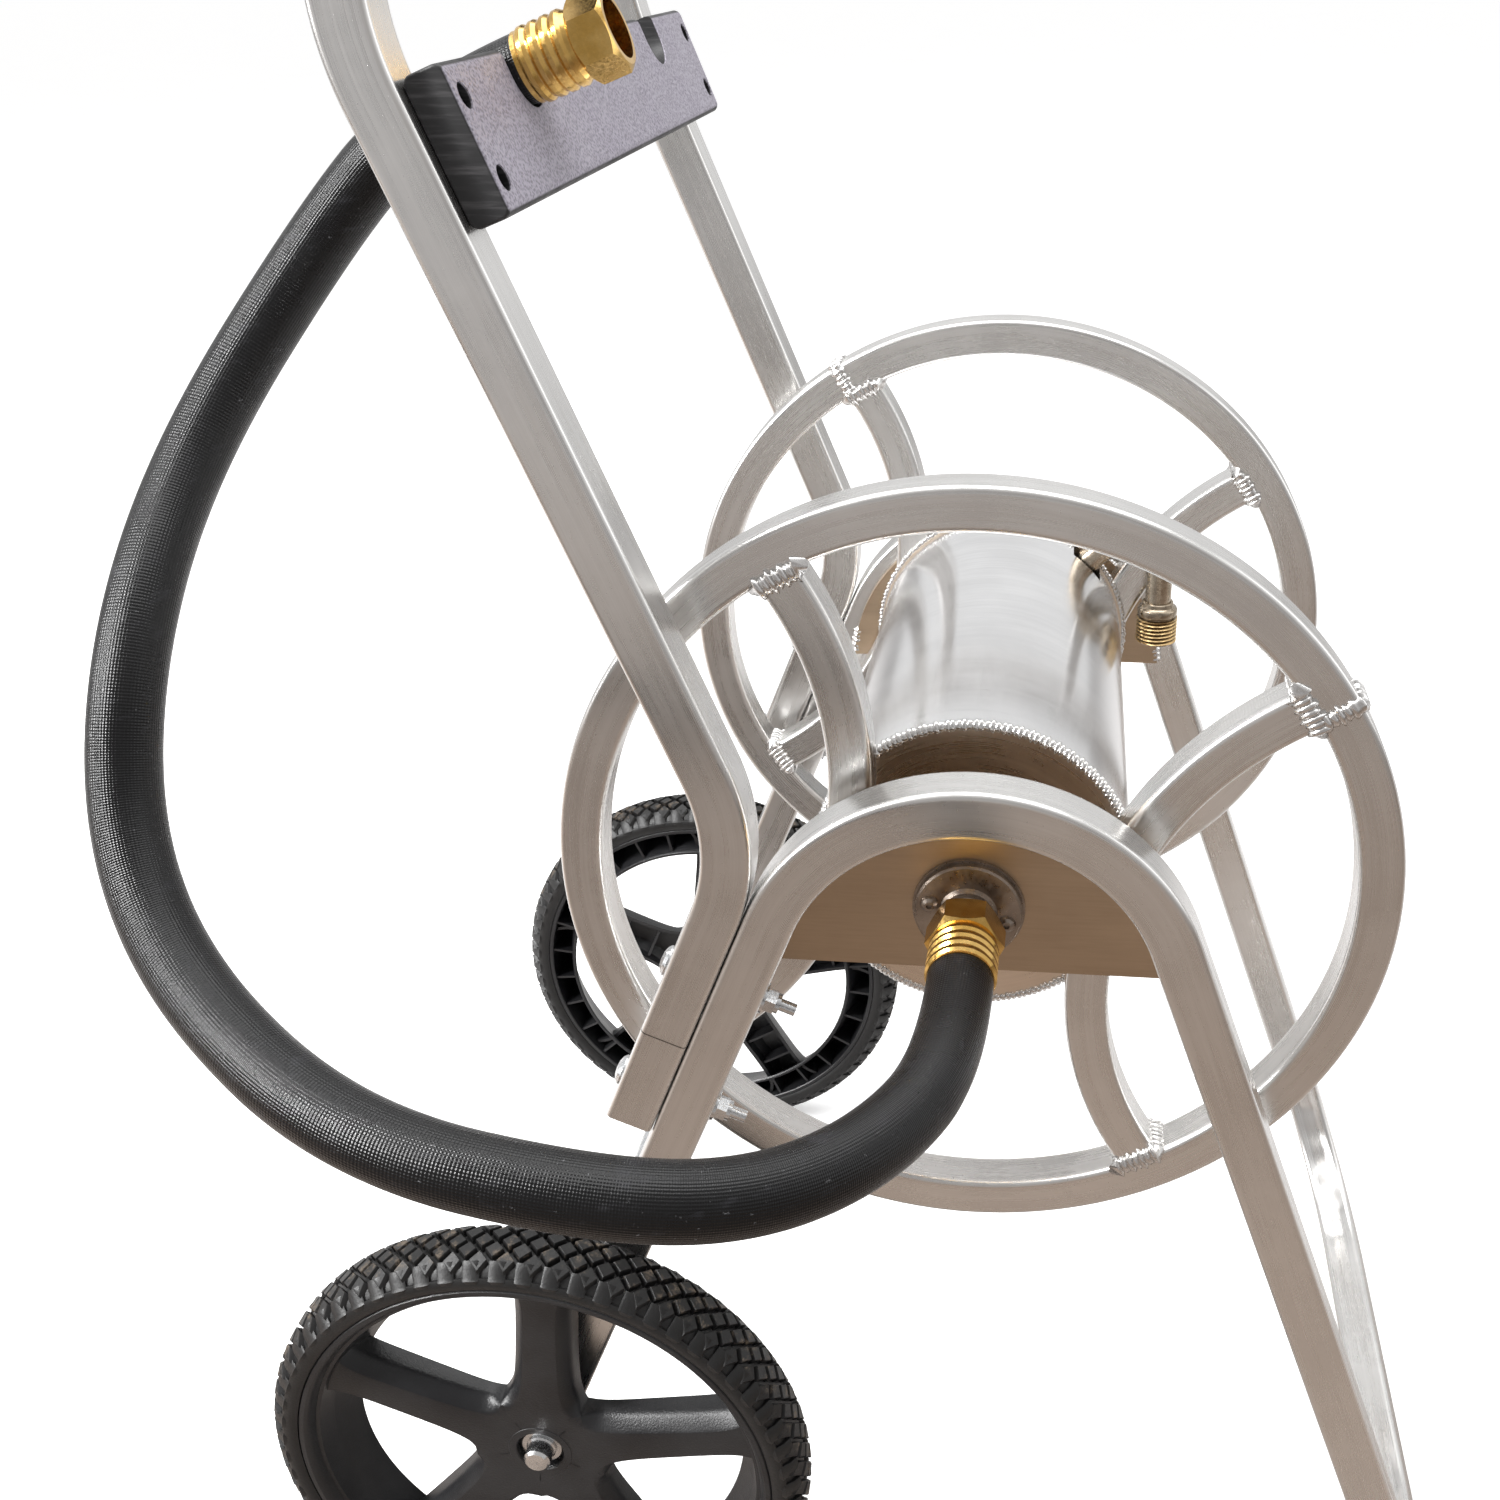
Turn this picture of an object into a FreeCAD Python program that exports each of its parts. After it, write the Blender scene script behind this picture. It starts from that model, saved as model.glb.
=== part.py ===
"""Two-wheeled garden hose reel cart, one STEP file per sub-part.

Millimetres. +X is forward (towards the foot bar), +Y is the cart's left side, +Z is up. Everything is
worked out from the centre of the reel, then moved by PLACE so that the floor is Z = 0 and the origin
is the middle of the footprint. "right" is the -Y side, where the water comes in.
"""
import FreeCAD, Part
import math
import os

V = FreeCAD.Vector
X, Y, Z = V(1, 0, 0), V(0, 1, 0), V(0, 0, 1)

# ---- driving dimensions -------------------------------------------------------------------------
PLACE = V(52.5, -34.9, 499.0)     # reel centre in the part's frame
FLOOR_Z = -PLACE.z                # the floor, seen from the reel centre

REEL_TUBE = 22.2                  # square tube of the reel (7/8 in)
REEL_WALL = 2.0
RIM_R = 210.3                     # outside radius of the rims
REEL_HALF = 177.6                 # reel centre to a rim's outer face
DRUM_R = 80.0
DRUM_WALL = 2.5
DISC_T = 3.2
SPOKE_BEND_C = 255.3              # reel centre to the centre of a spoke's bend
SPOKE_BEND_R = 188.6              # centreline radius of a spoke
SPOKE_AIM = 166.5                 # direction of the rear spokes' bend centre, degrees above +X

FRAME_TUBE = 25.0                 # square tube of frame and handle (1 in)
FRAME_WALL = 2.4
CORNER_R = 3.0                    # outside corner radius of every square tube
FRAME_Y = 205.1                   # centre plane of the side frames and handle legs
ARCH_X, ARCH_Z = 1.5, -41.0       # centre of the arch over the hub
ARCH_R = 105.1
FRONT_LEAN = 19.7                 # front legs from vertical, degrees
REAR_LEAN = 22.4
FOOT_BEND_R = 103.0
AXLE_Z = -344.5

WHEEL_R = 154.5
WHEEL_OUT = 262.5                 # outer face of a tyre from the middle plane
TYRE_W = 41.0
SEAT_R = 136.0                    # where the tyre sits on the wheel
SPOKES = 5
SPOKE_TURN = 84.0                 # direction of the first wheel spoke, degrees above +X
AXLE_R = 6.35

HANDLE_LEAN = 21.3                # upper run of the handle from vertical, degrees
HANDLE_FRONT = -72.8              # front face of that run from the reel axis, along its normal
HANDLE_TOP = 535.0
HANDLE_LOW_R = 105.0
HANDLE_HIGH_R = 130.0
HANDLE_CORNER_R = 75.0
HANDLE_CUT = 148.0                # end of the lower run, along the rear leg
BOLT_STEPS = (49.5, 125.5)        # handle bolts, along the rear leg
BOLT_R = 3.175

BLOCK_LOW, BLOCK_HIGH = 376.5, 440.0   # hose holder along the handle's slope
BLOCK_T = 19.0
BLOCK_HALF = 210.0
SLOT_Y = 121.0
SLOT_W = 33.0
SLOT_FLOOR = 412.0

PLATE_T = 3.2
PLATE_LOW = -36.0                 # straight lower edge of the hub plates
FLANGE_R = 26.5
FLANGE_T = 6.0
PIPE_R = 8.5                      # water pipe
PIPE_BORE = 6.5
THREAD_R = 13.5                   # 3/4 in garden hose thread, outside
OUTLET_X, OUTLET_Y = 103.5, 143.5
HOSE_R = 15.5
HEX_AF = 33.0                     # brass hose couplings across flats

SHAFT_R = 8.0
CRANK_REACH = 115.0
CRANK_ANGLE = -114.0              # where the crank rests, degrees above +X
CRANK_Y = 228.0
GRIP_LEN = 92.0
SPINDLE_R = 5.0
RUN = 0.05                        # radial clearance of a running fit

# Centreline of the leader hose, from the inlet coupling to the ferrule in front of the holder.
HOSE_ROUTE = [
    (0, -255, 0), (0, -314, 0), (-23, -368, 0), (-65, -409, 0), (-122, -428, 4),
    (-225, -412, 11), (-315, -353, 35), (-355, -309, 89), (-356, -271, 166), (-357, -189, 226),
    (-305, -129, 312), (-258, -121, 360), (-203, -121, 381),
]

FRAME_OUT = FRAME_Y + FRAME_TUBE / 2
FRAME_IN = FRAME_Y - FRAME_TUBE / 2
REEL_IN = REEL_HALF - REEL_TUBE


# ---- helpers ------------------------------------------------------------------------------------
def save(name, shape):
    """Move a shape to the part's frame and write it."""
    placed = shape.copy()
    placed.translate(PLACE)
    placed.exportStep("parts/%s.step" % name)
    box = placed.optimalBoundingBox()
    print("%-22s solids %2d  valid %s  volume %10.0f  x %.1f..%.1f  y %.1f..%.1f  z %.1f..%.1f" % (
        name, len(placed.Solids), placed.isValid(), placed.Volume,
        box.XMin, box.XMax, box.YMin, box.YMax, box.ZMin, box.ZMax))


def save_pair(name, right_shape):
    """Write a right-hand shape and its mirror image on the left."""
    save(name + "_right", right_shape)
    save(name + "_left", right_shape.mirror(V(0, 0, 0), Y))


def polar(radius, degrees, y=0.0):
    """Point at a radius and an angle above +X, in the plane of the reel."""
    a = math.radians(degrees)
    return V(radius * math.cos(a), y, radius * math.sin(a))


def cyl(radius, start, axis, length):
    return Part.makeCylinder(radius, length, start, axis)


def ring(outer, inner, start, axis, length):
    return cyl(outer, start, axis, length).cut(cyl(inner, start, axis, length))


def rounded_square(centre, side_a, side_b, size, corner):
    """Closed wire: a square of the given size with round corners, in the plane of two unit vectors."""
    h = size / 2
    k = h - corner
    q = corner * math.sqrt(0.5)

    def at(a, b):
        return centre + side_a * a + side_b * b

    edges = []
    for turn in range(4):
        c, s = [(1, 0), (0, 1), (-1, 0), (0, -1)][turn]

        def spin(a, b):
            return at(a * c - b * s, a * s + b * c)

        edges.append(Part.LineSegment(spin(h, -k), spin(h, k)).toShape())
        edges.append(Part.Arc(spin(h, k), spin(k + q, k + q), spin(k, h)).toShape())
    return Part.Wire(edges)


def square_section(centre, side_a, side_b, size, wall):
    """Face of a square tube's wall."""
    outer = rounded_square(centre, side_a, side_b, size, CORNER_R)
    inner = rounded_square(centre, side_a, side_b, size - 2 * wall, max(CORNER_R - wall, 0.6))
    return Part.Face(outer).cut(Part.Face(inner)).Faces[0]


def round_section(centre, axis, radius, bore=0.0):
    disc = Part.Face(Part.Wire([Part.Circle(centre, axis, radius).toShape()]))
    if not bore:
        return disc
    return disc.cut(Part.Face(Part.Wire([Part.Circle(centre, axis, bore).toShape()]))).Faces[0]


def sweep(section, points, radii):
    """Carry a section along straight runs joined by tangent arcs: extrusions and revolutions."""
    here = points[0]
    pieces = []
    for i in range(1, len(points)):
        ahead = (points[i] - points[i - 1]).normalize()
        run_end = points[i]
        if i < len(points) - 1:
            leaving = (points[i + 1] - points[i]).normalize()
            turn = ahead.getAngle(leaving)
            run_end = points[i] - ahead * (radii[i - 1] * math.tan(turn / 2))
        step = run_end - here
        if step.Length > 1e-6:
            pieces.append(section.extrude(step))
            section = section.copy()
            section.translate(step)
        here = run_end
        if i < len(points) - 1:
            axis = ahead.cross(leaving).normalize()
            centre = here + axis.cross(ahead) * radii[i - 1]
            pieces.append(section.revolve(centre, axis, math.degrees(turn)))
            section = section.copy()
            section.rotate(centre, axis, math.degrees(turn))
            here = points[i] + leaving * (radii[i - 1] * math.tan(turn / 2))
    if len(pieces) == 1:
        return pieces[0]
    return pieces[0].multiFuse(pieces[1:]).removeSplitter()


def soft_radii(points):
    """The largest tangent arcs that each pair of runs allows, and their radii for the record."""
    radii = []
    for a, b, c in zip(points, points[1:], points[2:]):
        turn = (b - a).getAngle(c - b)
        radii.append(0.45 * min((b - a).Length, (c - b).Length) / math.tan(turn / 2))
    return radii


def hexagon(centre, axis, flat_dir, across_flats, length):
    """Hexagonal prism along an axis, one flat facing flat_dir."""
    side = axis.cross(flat_dir).normalize()
    r = across_flats / math.sqrt(3)
    corners = []
    for i in range(7):
        a = math.radians(60 * i + 30)
        corners.append(centre + flat_dir * (r * math.cos(a)) + side * (r * math.sin(a)))
    return Part.Face(Part.makePolygon(corners)).extrude(axis * length)


def turned(outline, start, axis):
    """Solid of revolution: outline is (distance along the axis, radius) points, closed on the axis."""
    side = axis.cross(X if abs(axis.dot(X)) < 0.5 else Y).normalize()
    points = [start + axis * d + side * r for d, r in outline]
    points.append(points[0])
    return Part.Face(Part.makePolygon(points)).revolve(start, axis, 360)


def lean_dir(side, lean):
    """Direction down a leg and the normal of its outer face, in the XZ plane."""
    a = math.radians(lean)
    return V(side * math.sin(a), 0, -math.cos(a)), V(side * math.cos(a), 0, math.sin(a))


def cross_point(p, d, q, e):
    """Where two lines of the XZ plane meet."""
    t = ((q.x - p.x) * e.z - (q.z - p.z) * e.x) / (d.x * e.z - d.z * e.x)
    return p + d * t


# ---- reference lines of the frame ---------------------------------------------------------------
ARCH = V(ARCH_X, 0, ARCH_Z)
FRONT_DOWN, FRONT_OUT = lean_dir(1, FRONT_LEAN)
REAR_DOWN, REAR_OUT = lean_dir(-1, REAR_LEAN)
FRONT_TOP = ARCH + FRONT_OUT * ARCH_R
REAR_TOP = ARCH + REAR_OUT * ARCH_R
APEX = cross_point(FRONT_TOP, FRONT_DOWN, REAR_TOP, REAR_DOWN)
AXLE = REAR_TOP + REAR_DOWN * ((AXLE_Z - REAR_TOP.z) / REAR_DOWN.z)
FRONT_TILT = math.radians(FRONT_LEAN)
FOOT_REACH = (FRAME_TUBE / 2 - CORNER_R) * (math.cos(FRONT_TILT) + math.sin(FRONT_TILT)) + CORNER_R
FOOT = FRONT_TOP + FRONT_DOWN * ((FLOOR_Z + FOOT_REACH - FRONT_TOP.z) / FRONT_DOWN.z)
FOOT_START = FOOT - FRONT_DOWN * FOOT_BEND_R

SLOPE = math.radians(HANDLE_LEAN)
SLOPE_OUT = V(math.cos(SLOPE), 0, math.sin(SLOPE))
SLOPE_UP = V(-math.sin(SLOPE), 0, math.cos(SLOPE))
TUBES_APART = 0.4


# ---- reel ---------------------------------------------------------------------------------------
def rim():
    centre = V(RIM_R - REEL_TUBE / 2, -(REEL_HALF - REEL_TUBE / 2), 0)
    return square_section(centre, X, Y, REEL_TUBE, REEL_WALL).revolve(V(0, 0, 0), Y, 360)


def reel_spoke(aim):
    """One bent tube between two points of a rim, bulging towards the hub, coped to the rim."""
    y = -(REEL_HALF - REEL_TUBE / 2)
    bend = polar(SPOKE_BEND_C, aim, y)
    inwards = polar(-1, aim)
    half = 70.0
    section = square_section(bend + inwards * SPOKE_BEND_R, inwards, Y, REEL_TUBE, REEL_WALL)
    section.rotate(bend, Y, -half)
    arc = section.revolve(bend, Y, 2 * half)
    inside = cyl(RIM_R - REEL_TUBE, V(0, -REEL_HALF - 5, 0), Y, REEL_TUBE + 10)
    return arc.common(inside)


def drum():
    length = 2 * (REEL_IN - DISC_T)
    shell = ring(DRUM_R, DRUM_R - DRUM_WALL, V(0, -length / 2, 0), Y, length)
    notch_w = 2 * PIPE_R + 8
    notch = Part.makeBox(60, length / 2 - (OUTLET_Y - PIPE_R - 3), notch_w,
                         V(50, OUTLET_Y - PIPE_R - 3, -notch_w / 2))
    notch.rotate(V(0, 0, 0), Y, -45)
    return shell.cut(notch)


def drum_end(hole_r):
    face_y = -REEL_IN
    disc = cyl(DRUM_R + 1, V(0, face_y, 0), Y, DISC_T)
    return disc.cut(cyl(hole_r, V(0, face_y - 1, 0), Y, DISC_T + 2))


def water_pipe():
    """Runs in along the axis, out through the drum's notch and back down to the outlet."""
    points = [V(0, -(FRAME_IN + 4), 0), V(0, OUTLET_Y, 0), V(OUTLET_X, OUTLET_Y, OUTLET_X),
              V(OUTLET_X, OUTLET_Y, 22)]
    return sweep(round_section(points[0], Y, PIPE_R, PIPE_BORE), points, [20.0, 24.0])


def outlet_fitting():
    top = V(OUTLET_X, OUTLET_Y, 30)
    outline = [(0, PIPE_R), (0, 10.2), (3, 13.0), (9, 13.0), (11, THREAD_R - 1.0), (11.8, THREAD_R),
               (27.2, THREAD_R), (28.5, THREAD_R - 1.3), (28.5, 9.5), (8, 9.5), (8, PIPE_R)]
    return turned(outline, top, V(0, 0, -1))


def reel_shaft():
    start = V(0, REEL_IN - DISC_T, 0)
    return cyl(SHAFT_R, start, Y, CRANK_Y + 6 - start.y)


# ---- frame --------------------------------------------------------------------------------------
def bolt_holes(radius):
    """Drills for the handle bolts of one side."""
    drills = []
    for step in BOLT_STEPS:
        start = REAR_TOP + REAR_DOWN * step + REAR_OUT * 60 - Y * FRAME_Y
        drills.append(cyl(radius, start, REAR_OUT * -1, 120))
    return drills


def side_frame():
    """Rear leg, arch and front leg of the right side: one bent tube."""
    rear_end = AXLE + REAR_DOWN * 22
    lift = V(0, -FRAME_Y, 0)
    points = [rear_end + lift, APEX + lift, FOOT_START + lift]
    section = square_section(points[0], REAR_OUT, Y, FRAME_TUBE, FRAME_WALL)
    tube = sweep(section, points, [ARCH_R])
    tube = tube.cut(cyl(AXLE_R, AXLE + V(0, -FRAME_OUT - 5, 0), Y, FRAME_TUBE + 10))
    return tube.cut(Part.makeCompound(bolt_holes(BOLT_R + 0.25)))


def foot_bar():
    """The front legs' lower bends and the bar that rests on the ground."""
    right, left = V(0, -FRAME_Y, 0), V(0, FRAME_Y, 0)
    points = [FOOT_START + right, FOOT + right, FOOT + left, FOOT_START + left]
    section = square_section(points[0], FRONT_OUT, Y, FRAME_TUBE, FRAME_WALL)
    return sweep(section, points, [FOOT_BEND_R, FOOT_BEND_R])


def hub_plate(hole_r, screw_ring, screw_turn, screw_r):
    """Half-moon plate, lapped on the inner face of the arch."""
    y = -FRAME_IN
    disc = cyl(ARCH_R + 2, V(ARCH_X, y, ARCH_Z), Y, PLATE_T)
    disc = disc.cut(Part.makeBox(400, 20, 200, V(-200, y - 5, PLATE_LOW - 200)))
    for angle in (screw_turn, screw_turn + 180):
        disc = disc.cut(cyl(screw_r, polar(screw_ring, angle, y - 1), Y, PLATE_T + 2))
    return disc.cut(cyl(hole_r, V(0, y - 1, 0), Y, PLATE_T + 2))


SCREW_RING, SCREW_TURN = 19.5, -14.0
FAR_SCREW_RING, FAR_SCREW_TURN = 17.5, 80.0
BOSS_R = 14.0


def swivel_flange():
    """Inlet swivel: flange on the plate, boss through it, and the nipple that takes the coupling."""
    face = -(FRAME_IN + FLANGE_T)
    outline = [(0, 0), (0, FLANGE_R - 1), (1, FLANGE_R), (FLANGE_T - 1.6, FLANGE_R),
               (FLANGE_T - 1.6, FLANGE_R + 1.2), (FLANGE_T, FLANGE_R + 1.2), (FLANGE_T, BOSS_R),
               (FLANGE_T + 9, BOSS_R), (FLANGE_T + 9, 0)]
    body = turned(outline, V(0, face, 0), Y)
    nipple = turned([(-24, 0), (-24, 11.8), (-7, 11.8), (-6, 13.0), (-2, 13.0), (0, 14.5), (1, 0)],
                    V(0, face, 0), Y)
    body = body.fuse(nipple)
    body = body.cut(cyl(7.0, V(0, face - 30, 0), Y, 60))
    body = body.cut(cyl(PIPE_R + RUN, V(0, -(FRAME_IN + 4.5), 0), Y, 40))
    return body.cut(Part.makeCompound([cyl(2.5, p - Y * 10, Y, 40) for p in flange_screw_places()]))


def flange_screw_places():
    face = -(FRAME_IN + FLANGE_T)
    return [polar(SCREW_RING, SCREW_TURN + half, face) for half in (0, 180)]


def flange_screws():
    """Button-head screws through flange and plate."""
    screws = []
    for p in flange_screw_places():
        head = turned([(0, 0), (0, 4.6), (-1.4, 3.9), (-2.4, 2.4), (-2.6, 0)], p, Y)
        head = head.cut(hexagon(p - Y * 3, Y, Z, 2.8, 2.0))
        screws.append(head.fuse(cyl(2.5, p, Y, FLANGE_T + PLATE_T + 3)))
    return Part.makeCompound(screws)


def far_bearing():
    """Flanged plastic bushing of the crank side."""
    outline = [(7, SHAFT_R + RUN), (7, 20), (6, 22), (0, 22), (0, BOSS_R), (-8, BOSS_R),
               (-8, SHAFT_R + RUN)]
    body = turned(outline, V(0, FRAME_IN, 0), Y)
    for angle in (FAR_SCREW_TURN, FAR_SCREW_TURN + 180):
        body = body.cut(cyl(2.0, polar(FAR_SCREW_RING, angle, FRAME_IN - 9), Y, 30))
    return body


def bearing_screws():
    screws = []
    for angle in (FAR_SCREW_TURN, FAR_SCREW_TURN + 180):
        p = polar(FAR_SCREW_RING, angle, FRAME_IN + 7)
        head = turned([(0, 0), (0, 3.6), (1.8, 2.6), (2.2, 0)], p, Y)
        screws.append(head.fuse(cyl(2.0, p - Y * 14, Y, 14)))
    return Part.makeCompound(screws)


# ---- handle -------------------------------------------------------------------------------------
def handle_path():
    """Centreline of the right leg, up to the middle of the cross bar, then mirrored."""
    out = FRAME_TUBE + TUBES_APART
    low_end = REAR_TOP + REAR_OUT * out + REAR_DOWN * HANDLE_CUT
    slope_point = SLOPE_OUT * (HANDLE_FRONT - FRAME_TUBE / 2)
    knee = cross_point(low_end, REAR_DOWN, slope_point, SLOPE_UP)
    bend_from = slope_point + SLOPE_UP * 436.0
    crown = bend_from + SLOPE_UP * (HANDLE_HIGH_R * math.tan(SLOPE / 2))
    top = V(crown.x, 0, HANDLE_TOP - FRAME_TUBE / 2)
    right = [p - Y * FRAME_Y for p in (low_end, knee, crown, top)]
    left = [p + Y * FRAME_Y for p in (top, crown, knee, low_end)]
    radii = [HANDLE_LOW_R, HANDLE_HIGH_R, HANDLE_CORNER_R]
    return right + left, radii + radii[::-1]


def handle_tube():
    points, radii = handle_path()
    section = square_section(points[0], REAR_OUT, Y, FRAME_TUBE, FRAME_WALL)
    tube = sweep(section, points, radii)
    holes = Part.makeCompound(bolt_holes(BOLT_R + 0.25))
    tube = tube.cut(holes).cut(holes.mirror(V(0, 0, 0), Y))
    return tube.cut(Part.makeCompound(block_screw_shanks()))


def handle_grip():
    """Foam sleeve round the cross bar."""
    points, _ = handle_path()
    top = points[3]
    start = V(top.x, -FRAME_Y + HANDLE_CORNER_R + 12, top.z)
    length = -2 * start.y
    sleeve = Part.Face(rounded_square(start, X, Z, FRAME_TUBE + 10, 9)).extrude(Y * length)
    core = Part.Face(rounded_square(start - Y, X, Z, FRAME_TUBE, CORNER_R)).extrude(Y * (length + 2))
    return sleeve.cut(core)


def handle_fasteners():
    """Carriage bolts from behind, washers and lock nuts in front of the rear legs."""
    bolts, washers, nuts = [], [], []
    inwards = REAR_OUT * -1
    back = FRAME_TUBE * 1.5 + TUBES_APART
    for side in (-1, 1):
        for step in BOLT_STEPS:
            seat = REAR_TOP + REAR_DOWN * step + REAR_OUT * back + Y * (side * FRAME_Y)
            face = seat + inwards * (back + FRAME_TUBE / 2)
            dome = turned([(0, 0), (0, 8.0), (-1.0, 8.0), (-2.6, 6.4), (-3.8, 3.4), (-4.1, 0)],
                          seat, inwards)
            bolts.append(dome.fuse(cyl(BOLT_R, seat, inwards, back + FRAME_TUBE / 2 + 18)))
            washers.append(ring(8.2, BOLT_R, face, inwards, 1.6))
            nut = hexagon(face + inwards * 1.6, inwards, Y, 11.1, 5.6)
            nut = nut.fuse(cyl(5.3, face + inwards * 7.2, inwards, 2.2))
            nuts.append(nut.cut(cyl(BOLT_R, face, inwards, 20)))
    return Part.makeCompound(bolts), Part.makeCompound(washers), Part.makeCompound(nuts)


def tilt_to_slope(shape):
    """Local X becomes the handle's outward normal and local Z its slope."""
    shape.rotate(V(0, 0, 0), Y, -HANDLE_LEAN)
    return shape


def screw_spots():
    middle = (BLOCK_LOW + BLOCK_HIGH) / 2
    return [(side * (FRAME_Y - 4.5), middle + lift) for side in (-1, 1) for lift in (-17.0, 17.0)]


def hose_block():
    """Plastic bar across the front of the handle, with two slots that hold couplings."""
    height = BLOCK_HIGH - BLOCK_LOW
    bar = Part.makeBox(BLOCK_T, 2 * BLOCK_HALF, height, V(HANDLE_FRONT, -BLOCK_HALF, BLOCK_LOW))
    long_edges = [e for e in bar.Edges if abs(e.tangentAt(0).y) > 0.9]
    bar = bar.makeFillet(4.5, long_edges)
    upright = [e for e in bar.Edges if abs(e.tangentAt(0).z) > 0.9]
    front_ends = [e for e in upright if e.CenterOfMass.x > HANDLE_FRONT + 10]
    bar = bar.makeFillet(1.5, front_ends) if len(front_ends) == 2 else bar
    for y in (-SLOT_Y, SLOT_Y):
        low = SLOT_FLOOR + SLOT_W / 2
        bar = bar.cut(Part.makeBox(60, SLOT_W, 80, V(HANDLE_FRONT - 20, y - SLOT_W / 2, low)))
        bar = bar.cut(cyl(SLOT_W / 2, V(HANDLE_FRONT - 20, y, low), X, 60))
    for y, z in screw_spots():
        bar = bar.cut(cyl(5.6, V(HANDLE_FRONT + BLOCK_T - 7, y, z), X, 20))
        bar = bar.cut(cyl(2.5, V(HANDLE_FRONT - 5, y, z), X, 30))
    return tilt_to_slope(bar)


def block_screw_shanks():
    return [tilt_to_slope(cyl(2.5, V(HANDLE_FRONT - 9, y, z), X, BLOCK_T + 2 - 0.001))
            for y, z in screw_spots()]


def block_screws():
    screws = []
    for y, z in screw_spots():
        seat = HANDLE_FRONT + BLOCK_T - 7
        head = turned([(0, 0), (0, 4.7), (1.6, 4.7), (2.8, 3.2), (3.1, 0)], V(seat, y, z), X)
        head = head.cut(hexagon(V(seat + 1.6, y, z), X, Y, 3.0, 4))
        shank = cyl(2.5, V(HANDLE_FRONT - 9, y, z), X, BLOCK_T + 2)
        screws.append(tilt_to_slope(head.fuse(shank)))
    return Part.makeCompound(screws)


# ---- wheels -------------------------------------------------------------------------------------
HUB_FACE = 246.0
HUB_IN = FRAME_OUT + 2.8


def wheel_centre():
    """Moulded wheel of the right side: smooth outside, ribbed towards the cart."""
    outer, inner = -(WHEEL_OUT - 2), -(WHEEL_OUT - TYRE_W + 2)
    depth = inner - outer
    wall = 3.0
    start = V(AXLE.x, outer, AXLE.z)
    cone = turned([(0, SEAT_R), (0, SEAT_R - 5), (2, SEAT_R - 6), (depth - 1, 113), (depth, 113),
                   (depth, 113 + wall), (depth - 2, 113 + wall + 1), (6, SEAT_R - wall),
                   (depth, SEAT_R - wall), (depth, SEAT_R)], start, Y)
    pieces = [cone]
    for i in range(30):
        angle = SPOKE_TURN + 6 + 12 * i
        corners = [(depth - 2, 113.5), (depth - 2, SEAT_R - 1), (6, SEAT_R - 1), (4, SEAT_R - 5)]
        flat = [V(r, outer + d, -1) for d, r in corners]
        rib = Part.Face(Part.makePolygon(flat + flat[:1])).extrude(V(0, 0, 2))
        rib.rotate(V(0, 0, 0), Y, -angle)
        rib.translate(V(AXLE.x, 0, AXLE.z))
        pieces.append(rib)
    hub = turned([(0, 22), (1.5, 25), (HUB_FACE - HUB_IN - 1, 23), (HUB_FACE - HUB_IN, 21),
                  (HUB_FACE - HUB_IN, 0), (0, 0)], V(AXLE.x, -HUB_FACE, AXLE.z), Y)
    pieces.append(hub)
    for i in range(SPOKES):
        pieces.append(wheel_spoke(SPOKE_TURN + i * 360 / SPOKES))
    wheel = pieces[0].multiFuse(pieces[1:])
    recess = cyl(13.5, V(AXLE.x, -HUB_FACE - 1, AXLE.z), Y, 6)
    bore = cyl(AXLE_R + RUN, V(AXLE.x, -HUB_FACE - 1, AXLE.z), Y, 60)
    return wheel.cut(recess).cut(bore)


def wheel_spoke(angle):
    """Box spoke, open and ribbed towards the cart; lies along +X before it is turned."""
    root, tip, half_root, half_tip = 18.0, 122.0, 19.0, 14.0
    face_root, face_tip, back = -HUB_FACE, -HUB_FACE - 4, -(WHEEL_OUT - TYRE_W + 8)
    wall = 3.2

    def slab(inset, front, back_y, r0, r1):
        rows = []
        for r, half, y in ((r0, half_root - inset, front), (r1, half_tip - inset, front - 4)):
            rows.append(Part.makePolygon([V(r, y, -half), V(r, y, half), V(r, back_y, half),
                                          V(r, back_y, -half), V(r, y, -half)]))
        return Part.makeLoft(rows, True)

    body = slab(0, face_root, back, root, tip)
    pocket = slab(wall, face_root + wall + 1, back + 5, root + 8, tip - 2)
    body = body.cut(pocket)
    for r in (52.0, 78.0, 102.0):
        body = body.fuse(Part.makeBox(2.2, 13, 2 * half_tip, V(r, -HUB_FACE + 2, -half_tip)))
    body.rotate(V(0, 0, 0), Y, -angle)
    body.translate(V(AXLE.x, 0, AXLE.z))
    return body


def tyre():
    """Solid rubber tyre with a rounded crown."""
    half = [(TYRE_W / 2 - 6, WHEEL_R), (9, WHEEL_R - 1.5), (3, WHEEL_R - 6), (0, SEAT_R + 8),
            (0.5, SEAT_R + 3), (2, SEAT_R)]
    outline = half[::-1] + [(TYRE_W - d, r) for d, r in half]
    return turned(outline, V(AXLE.x, -WHEEL_OUT, AXLE.z), Y)


def axle():
    half = HUB_FACE + 4
    return cyl(AXLE_R, V(AXLE.x, -half, AXLE.z), Y, 2 * half)


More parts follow.
